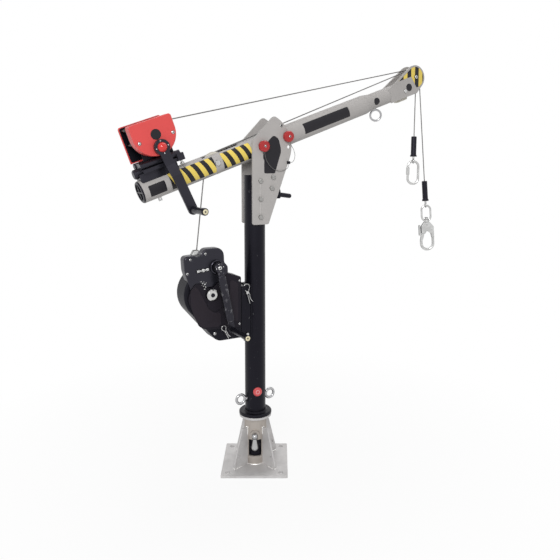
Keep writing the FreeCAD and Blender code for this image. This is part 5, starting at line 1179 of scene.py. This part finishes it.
# %% Setting the screws
head = add_node(screw_tree, "GeometryNodeJoinGeometry")
for half in (domed, chosen):
    screw_tree.links.new(half, head.inputs["Geometry"])
seated = made_by(screw_tree, "GeometryNodeTransform",
                 {"Geometry": head.outputs["Geometry"], "Translation": raised(0.5)})
facing = made_by(screw_tree, "GeometryNodeInputNamedAttribute", {"Name": "facing"}, data_type="FLOAT_VECTOR")
turned = made_by(screw_tree, "FunctionNodeAlignRotationToVector", {"Vector": facing}, axis="Z")
heads = made_by(screw_tree, "GeometryNodeInstanceOnPoints",
                {"Points": given["Geometry"], "Instance": seated, "Rotation": turned})
plain = end_growth(screw_tree, heads, given["Finish"])
in_socket = made_by(screw_tree, "GeometryNodeInputNamedAttribute", {"Name": "socket"}, data_type="BOOLEAN")
painted = made_by(screw_tree, "GeometryNodeSetMaterial",
                  {"Geometry": plain, "Selection": in_socket, "Material": given["Socket Shade Finish"]})
add_node(screw_tree, "NodeGroupOutput", {"Geometry": painted})
print("screw tree nodes:", len(screw_tree.nodes))


def add_screws(name, body, places, facing, radius, height, slot, socket=0.0, look=None):
    """Set screw heads at places in metres, all facing one way; the look is the slot's own unless given."""
    seed = bpy.data.meshes.new(name + "_places")
    seed.from_pydata(places, [], [])
    directions = seed.attributes.new("facing", "FLOAT_VECTOR", "POINT")
    for item in directions.data:
        item.vector = facing
    # The socket's black finish is painted shade for its recess.
    mesh = grow(name, screw_tree, seed,
                {"Head Radius": radius * MM, "Head Height": height * MM, "Socket Radius": socket * MM,
                 "Socketed": socket > 0, "Finish": look or finishes[slot],
                 "Socket Shade Finish": finishes["black_plastic"]})
    add_piece(name, mesh, body, slot)


# %% [markdown]
# ## Where the screws are
# Each group sits on a face that the solids give: the recesses of the winch cover, the bosses and rim of the
# retrieval block, the knobs of the head pins, a spare hole of the near head plate, both crank bosses and
# the ends of the tip's axle.

# %% Where the screws are
NEAR = Vector((0.0, -1.0, 0.0))
RECESS_RISE = 177
RECESS_FACE = -68
PIN_KNOB_FACE = -76
BLOCK_HEAD_FACE = -49
BLOCK_CASE_FACE = -42
BLOCK_KNOB_FACE = -75
WINCH_BOSS_FACE = -92
BLOCK_BOSS_FACE = -89
SPARE_HOLE_SEAT = -51.5
AXLE_FACE = 35
NUT_FACE = 35.6


def upright(y, *places):
    """Places (x, z) on an upright face, in metres."""
    return [Vector((x, y, z)) * MM for x, z in places]


def round_places(x, y, z, radius, turn):
    """Four places evenly round a centre on an upright face; the turn is in degrees."""
    angles = [math.radians(turn) + QUARTER * step for step in range(4)]
    return upright(y, *((x + radius * math.cos(angle), z + radius * math.sin(angle)) for angle in angles))


winch_pivot = boom_point(-407.5, 140) / MM
cover_recesses = [boom_point(along, RECESS_RISE, RECESS_FACE) for along in (-478, -341)]
pin_knobs = [boom_point(along, 0, PIN_KNOB_FACE) for along in (13.5, 138.5)]
head_bosses = upright(BLOCK_HEAD_FACE, (-311, 929), (-247, 948), (-324, 874))
winch_boss = round_places(winch_pivot.x, WINCH_BOSS_FACE, winch_pivot.z, radius=24, turn=20)
block_boss = round_places(CRANK_X, BLOCK_BOSS_FACE, CRANK_Z, radius=15, turn=15)
block_pivot = upright(BLOCK_BOSS_FACE, (CRANK_X, CRANK_Z))
for name, body, slot, places, radius, height, socket in (
        ("winch_cover_screws", "mast", "zinc_steel", cover_recesses, 6.5, 2.0, 2.6),
        ("retriever_screws", "mast", "zinc_steel", head_bosses, 5.2, 2.4, 2.8),
        ("winch_boss_rivets", "winch_crank", "zinc_steel", winch_boss, 2.6, 1.4, 0.0),
        ("retriever_pivot_screw", "retriever_crank", "zinc_steel", block_pivot, 8.4, 3.4, 3.0),
        ("retriever_boss_rivets", "retriever_crank", "zinc_steel", block_boss, 1.9, 1.2, 0.0),
        ("retriever_knob_cap", "mast", "black_plastic", upright(BLOCK_KNOB_FACE, (-227, 783)), 8.5, 2.0, 0.0),
        ("knob_screws", "mast", "zinc_steel", pin_knobs, 4.9, 1.2, 3.0),
        ("case_screw", "mast", "zinc_steel", upright(BLOCK_CASE_FACE, (-207, 616)), 6.5, 4.0, 3.0),
        ("cover_screws", "mast", "zinc_steel", upright(BLOCK_FACE, (-99, 644), (-99, 826)), 4.2, 1.8, 2.0)):
    add_screws(name, body, places, NEAR, radius, height, slot, socket)
add_screws("spare_hole_plug", "mast", upright(SPARE_HOLE_SEAT, (101.2, 1468.0)), NEAR, radius=7.2, height=1.8,
           slot="zinc_steel", socket=3.8, look=darker_zinc)
for side_name, side in SIDES:
    for name, face, radius, height, slot, socket in (
            ("axle_washer", AXLE_FACE, 11.4, 1.0, "black_coat", 0.0),
            ("axle_nut", NUT_FACE, 8.4, 2.4, "zinc_steel", 4.0)):
        axle_end = boom_point(TIP_ALONG, TIP_RISE, side * face)
        add_screws(f"{name}_{side_name}", "mast", [axle_end], NEAR * -side, radius, height, slot, socket)

# %% [markdown]
# ## A small lathe
# A few small parts are turned on a lathe. A helper turns a half section about a line; a section that starts
# and ends on that line makes a closed pin, and any other makes a ring.

# %% A small lathe
TURN_SIDES = 28
SHARP_CORNER = math.radians(35.0)


def add_turned(name, section, foot, axis, body, slot, look=None):
    """Turn (radius, height) points about an axis through foot; sizes in millimetres."""
    lathe = bmesh.new()
    axis_turn = Vector(axis).to_track_quat("Z", "X")
    rows = []
    for radius, height in section:
        sides = 1 if radius == 0 else TURN_SIDES
        angles = [2 * math.pi * step / sides for step in range(sides)]
        row = [Vector((radius * math.cos(angle), radius * math.sin(angle), height)) for angle in angles]
        rows.append([lathe.verts.new((foot + axis_turn @ point) * MM) for point in row])
    if section[0][0] > 0:
        rows.append(rows[0])
    for low, high in zip(rows, rows[1:]):
        for step in range(TURN_SIDES):
            corners = [low[step % len(low)], low[(step + 1) % len(low)],
                       high[(step + 1) % len(high)], high[step % len(high)]]
            lathe.faces.new(list(dict.fromkeys(corners)))
    bmesh.ops.recalc_face_normals(lathe, faces=lathe.faces[:])
    mesh = kept_mesh(name, lathe)
    mesh.shade_smooth()
    mesh.set_sharp_from_angle(angle=SHARP_CORNER)
    print(name, "faces:", len(mesh.polygons))
    add_piece(name, mesh, body, slot, look or finishes[slot])


print("turned parts have", TURN_SIDES, "sides")

# %% [markdown]
# ## Turned details
# The turned parts are a bright selector pin that lies on the retrieval block's head, the raised ring round
# its crank, a brass bolt at the end of each crank grip, whose dark middle is painted shade for its slot, the
# moulded ring on the mast's plug, pale pink partly as a painted reflection, and the nuts that clamp the
# winch's front bar. The plug's place is read from its solid.

# %% Turned details
SELECTOR = ((0, 0), (5, 0), (6.6, 1.6), (6.6, 11), (4, 13), (4, 20), (8.2, 22), (8.2, 31), (4, 33), (4, 38),
            (7, 40), (7, 50), (5.5, 52), (0, 52))
SELECTOR_FOOT = Vector((-288, -56, 880))
SELECTOR_AXIS = (52, 0, 6)
CRANK_RING = ((22, -1), (22, 3), (23, 5), (25, 6), (27.4, 5), (29, 2.6), (29, -1))
CRANK_RING_Y = -57
GRIP_BOLT = ((0, -0.6), (9.8, -0.6), (9.8, 0.2), (9.3, 0.45), (0, 0.45))
BLOCK_GRIP_END = Vector((-150, -229, 636))
WINCH_GRIP_Y = -230
WINCH_CRANK_LEAN = math.radians(25.2)
WINCH_CRANK_LENGTH = 261
PLUG_RING = ((5.4, -0.6), (5.4, 0.7), (6.4, 1.4), (8.4, 1.4), (9.6, 0.7), (9.6, -0.6))
PLUG_REACH = 49.5
CLAMP_NUT = ((0, 0), (7.2, 0), (8.2, 1), (8.2, 7), (4.2, 8), (4.2, 18), (0, 18))
FRONT_BAR = (-340, 50)
CLAMP_SIDE = 46
brass = metal("dull_brass", (0.72, 0.66, 0.46), PLATED, 0.28)

add_turned("selector_pin", SELECTOR, SELECTOR_FOOT, SELECTOR_AXIS, "mast", "zinc_steel")
add_turned("retriever_crank_ring", CRANK_RING, Vector((CRANK_X, CRANK_RING_Y, CRANK_Z)), NEAR, "mast",
           "black_plastic", glossy_moulding)
winch_reach = Vector((math.sin(WINCH_CRANK_LEAN), 0.0, -math.cos(WINCH_CRANK_LEAN))) * WINCH_CRANK_LENGTH
winch_end = winch_pivot + winch_reach
winch_end.y = WINCH_GRIP_Y
for crank, foot in (("retriever", BLOCK_GRIP_END), ("winch", winch_end)):
    add_turned(f"{crank}_grip_bolt", GRIP_BOLT, foot, NEAR, f"{crank}_crank", "zinc_steel", brass)
    # A dark disc in the bolt's middle: painted shade for its slot.
    add_screws(f"{crank}_grip_slot_shade", f"{crank}_crank", [foot * MM], NEAR, radius=3.2, height=0.9,
               slot="black_plastic")
plug_low, plug_high = (Vector(corner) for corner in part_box("mast_plug"))
plug_facing = ((plug_low + plug_high) / 2 * Vector((1.0, 1.0, 0.0))).normalized()
plug_face = plug_facing * PLUG_REACH + Vector((0.0, 0.0, (plug_low.z + plug_high.z) / 2 / MM))
# The raised ring is pale pink, partly a painted reflection.
add_turned("mast_plug_ring", PLUG_RING, plug_face, plug_facing, "mast", "red_plastic", pale_red)
for side_name, side in SIDES:
    clamp = boom_point(*FRONT_BAR, side * CLAMP_SIDE) / MM
    add_turned(f"front_bar_nut_{side_name}", CLAMP_NUT, clamp, boom_up, "mast", "zinc_steel")

# %% [markdown]
# ## The hook's rivets
# The snap hook swivels on its link, so its rivets ride on the hook's own body. Their places are given in
# the hook's frame, which hangs from the end of the retrieval rope and leans with it.

# %% The hook's rivets
HOOK_TURN = math.radians(-30.0)
HOOK_TOP = -210.25
HOOK_HALF = 7.5
HOOK_RIVETS = ((0, -15), (-12, -50), (23, -40))
RIVET_R = 3.4
RIVET_HEIGHT = 1.3

hook_turn = Matrix.Rotation(math.radians(-RETRIEVER_LEAN), 3, "Y") @ Matrix.Rotation(HOOK_TURN, 3, "Z")
hook_hang = retrieval_last + Vector((0.0, -ROPE_SIDE * MM, 0.0))


def on_hook(y):
    """Give the place on a face of the hook for a flat place."""
    return lambda u, v: hook_hang + hook_turn @ Vector((u, y, HOOK_TOP + v)) * MM


for side_name, side in SIDES:
    places = [on_hook(side * HOOK_HALF)(u, v) for u, v in HOOK_RIVETS]
    add_screws(f"hook_rivets_{side_name}", "snap_hook", places, hook_turn @ Vector((0.0, side, 0.0)),
               RIVET_R, RIVET_HEIGHT, "zinc_steel")

# %% [markdown]
# ## The hook's gate
# The gate is folded from sheet: a flange on each side covers the gap between its lever and the hook's body.
# The slit left beside the body is filled by a black sheet, painted shade.

# %% The hook's gate
GATE_HALF = 4.5
GATE_SHEET = 1.0
GATE_FLANGE = ((-41.8, -63), (-33, -61), (-33, -16), (-36, -14), (-41, -16))
GATE_GAP_SHADE = ((-37, -61), (-29.5, -57), (-29.5, -22), (-37, -17))

# A black sheet in the slit: painted shade.
lay_film("gate_gap_shade", flat_sheet(GATE_GAP_SHADE), on_hook(GATE_SHEET), False, 2 * GATE_SHEET,
         finishes["black_plastic"], body="snap_hook")
for side_name, side in SIDES:
    lay_film(f"gate_flange_{side_name}", flat_sheet(GATE_FLANGE), on_hook(side * GATE_HALF), side > 0,
             GATE_SHEET, finishes["zinc_steel"], body="snap_hook", slot="zinc_steel")
print("gate flanges made")

# %% [markdown]
# ## Spring clips
# Bent-wire spring clips keep pins from sliding out: a straight leg goes through the pin and a wavy leg
# snaps round it. One sits on the upper pin of the retrieval block's bracket, and a smaller spare hangs on a
# stud on the block. The wire is one smooth curve with a round section, drawn flat and then turned into
# place.

# %% Spring clips
CLIP_WIRE = 3 * MM
CLIP = ((0, 0), (16, 0), (36, 0), (52, 0), (61, -5), (71, -11), (83, -7), (88, 5), (82, 16), (70, 18),
        (60, 11), (51, 6), (44, 8), (37, 9.5), (29, 7), (21, 8), (12, 10), (4, 15))
CLIP_PIN_ALONG = 50.0
UPPER_PIN = Vector((-56.5, -38.0, 768.0))
LOWER_PIN = Vector((-168.0, -57.0, 622.0))
STUD_SEAT = -51.5


def add_clip(name, pin, lean, size):
    """A spring clip round a pin; lean is its long direction, in degrees from upright."""
    along = Vector((math.sin(math.radians(lean)), 0.0, math.cos(math.radians(lean))))
    across = Vector((along.z, 0.0, -along.x))
    route = [pin + (along * (a - CLIP_PIN_ALONG) + across * b) * size for a, b in CLIP]
    mesh = baked_mesh(smooth_cord(name + "_line", route, CLIP_WIRE))
    mesh.materials.clear()
    add_piece(name, mesh, "mast", "zinc_steel", finishes["zinc_steel"])
    print(name, "faces:", len(mesh.polygons))


add_clip("upper_spring_clip", UPPER_PIN, lean=-15.0, size=1.0)
add_clip("lower_spring_clip", LOWER_PIN, lean=-28.0, size=0.7)
add_screws("lower_clip_stud", "mast", upright(STUD_SEAT, (-166, 620)), NEAR, radius=4.0, height=10.0,
           slot="zinc_steel")

# %% [markdown]
# ## The floor
# The photograph has a white ground. The floor is a large plane that shines white to the camera and to
# reflections, yet near the base a small share of plain paper is left in it, which takes a faint shadow. A
# Light Path node tells the rays that see the floor from those that only light something.

# %% The floor
FLOOR_HALF = 40.0
SHADOW_REACH = 0.4
WHITE_REACH = 1.6
NEAR_WHITE = 0.88
PAPER = (0.9, 0.9, 0.9)
WHITE = (1.0, 1.0, 1.0)


def seen_rays(tree):
    """One for rays from the camera, off a shine or through a clear piece, and nought for other light."""
    rays = add_node(tree, "ShaderNodeLightPath").outputs
    straight = figure(tree, "MAXIMUM", rays["Is Camera Ray"], rays["Is Glossy Ray"])
    return figure(tree, "MAXIMUM", straight, rays["Is Transmission Ray"])


floor_mesh = bpy.data.meshes.new("floor")
floor_corners = [(x * FLOOR_HALF, y * FLOOR_HALF, 0.0) for x, y in ((-1, -1), (1, -1), (1, 1), (-1, 1))]
floor_mesh.from_pydata(floor_corners, [], [(0, 1, 2, 3)])
floor_finish = bpy.data.materials.new("white_floor")
floor_finish.use_nodes = True
floor_tree = floor_finish.node_tree
floor_tree.nodes.clear()
paper = made_by(floor_tree, "ShaderNodeBsdfDiffuse", {"Color": opaque(PAPER)})
glow = made_by(floor_tree, "ShaderNodeEmission", {"Color": opaque(WHITE), "Strength": 1.0})
ground = made_by(floor_tree, "ShaderNodeTexCoord", output="Object")
away = made_by(floor_tree, "ShaderNodeVectorMath", {0: ground}, output="Value", operation="LENGTH")
whiten = ranged(floor_tree, away, SHADOW_REACH, WHITE_REACH, NEAR_WHITE, 1.0)
share = figure(floor_tree, "MULTIPLY", seen_rays(floor_tree), whiten)
blend = made_by(floor_tree, "ShaderNodeMixShader", {0: share, 1: paper, 2: glow})
add_node(floor_tree, "ShaderNodeOutputMaterial", {"Surface": blend})
floor_mesh.materials.append(floor_finish)
add_object("floor", floor_mesh)
print("floor spans", 2 * FLOOR_HALF, "m")

# %% [markdown]
# ## World and lamps
# The world is white to the same rays and gives a gentle fill to everything else. A large lamp in front and
# above, a little to the left, models the round tubes, and a weaker one overhead lifts the top faces.

# %% World and lamps
FILL = 0.42
LAMP_AIM = Vector((0.2, 0.0, 1.0))
LAMPS = (("key_lamp", (-2.3, -3.4, 2.9), 1.8, 105.0), ("top_lamp", (1.0, 0.8, 4.2), 2.4, 40.0))

world = bpy.data.worlds.new("studio")
world.use_nodes = True
scene.world = world
sky = world.node_tree
sky.nodes.clear()
strength = ranged(sky, seen_rays(sky), 0.0, 1.0, FILL, 1.0)
white = made_by(sky, "ShaderNodeBackground", {"Color": opaque(WHITE), "Strength": strength})
add_node(sky, "ShaderNodeOutputWorld", {"Surface": white})
for name, place, size, watts in LAMPS:
    lamp = bpy.data.lights.new(name, "AREA")
    lamp.size = size
    lamp.energy = watts
    holder = add_object(name, lamp)
    holder.location = place
    holder.rotation_euler = (LAMP_AIM - Vector(place)).to_track_quat("-Z", "Y").to_euler()
print("lamps set:", len(LAMPS))
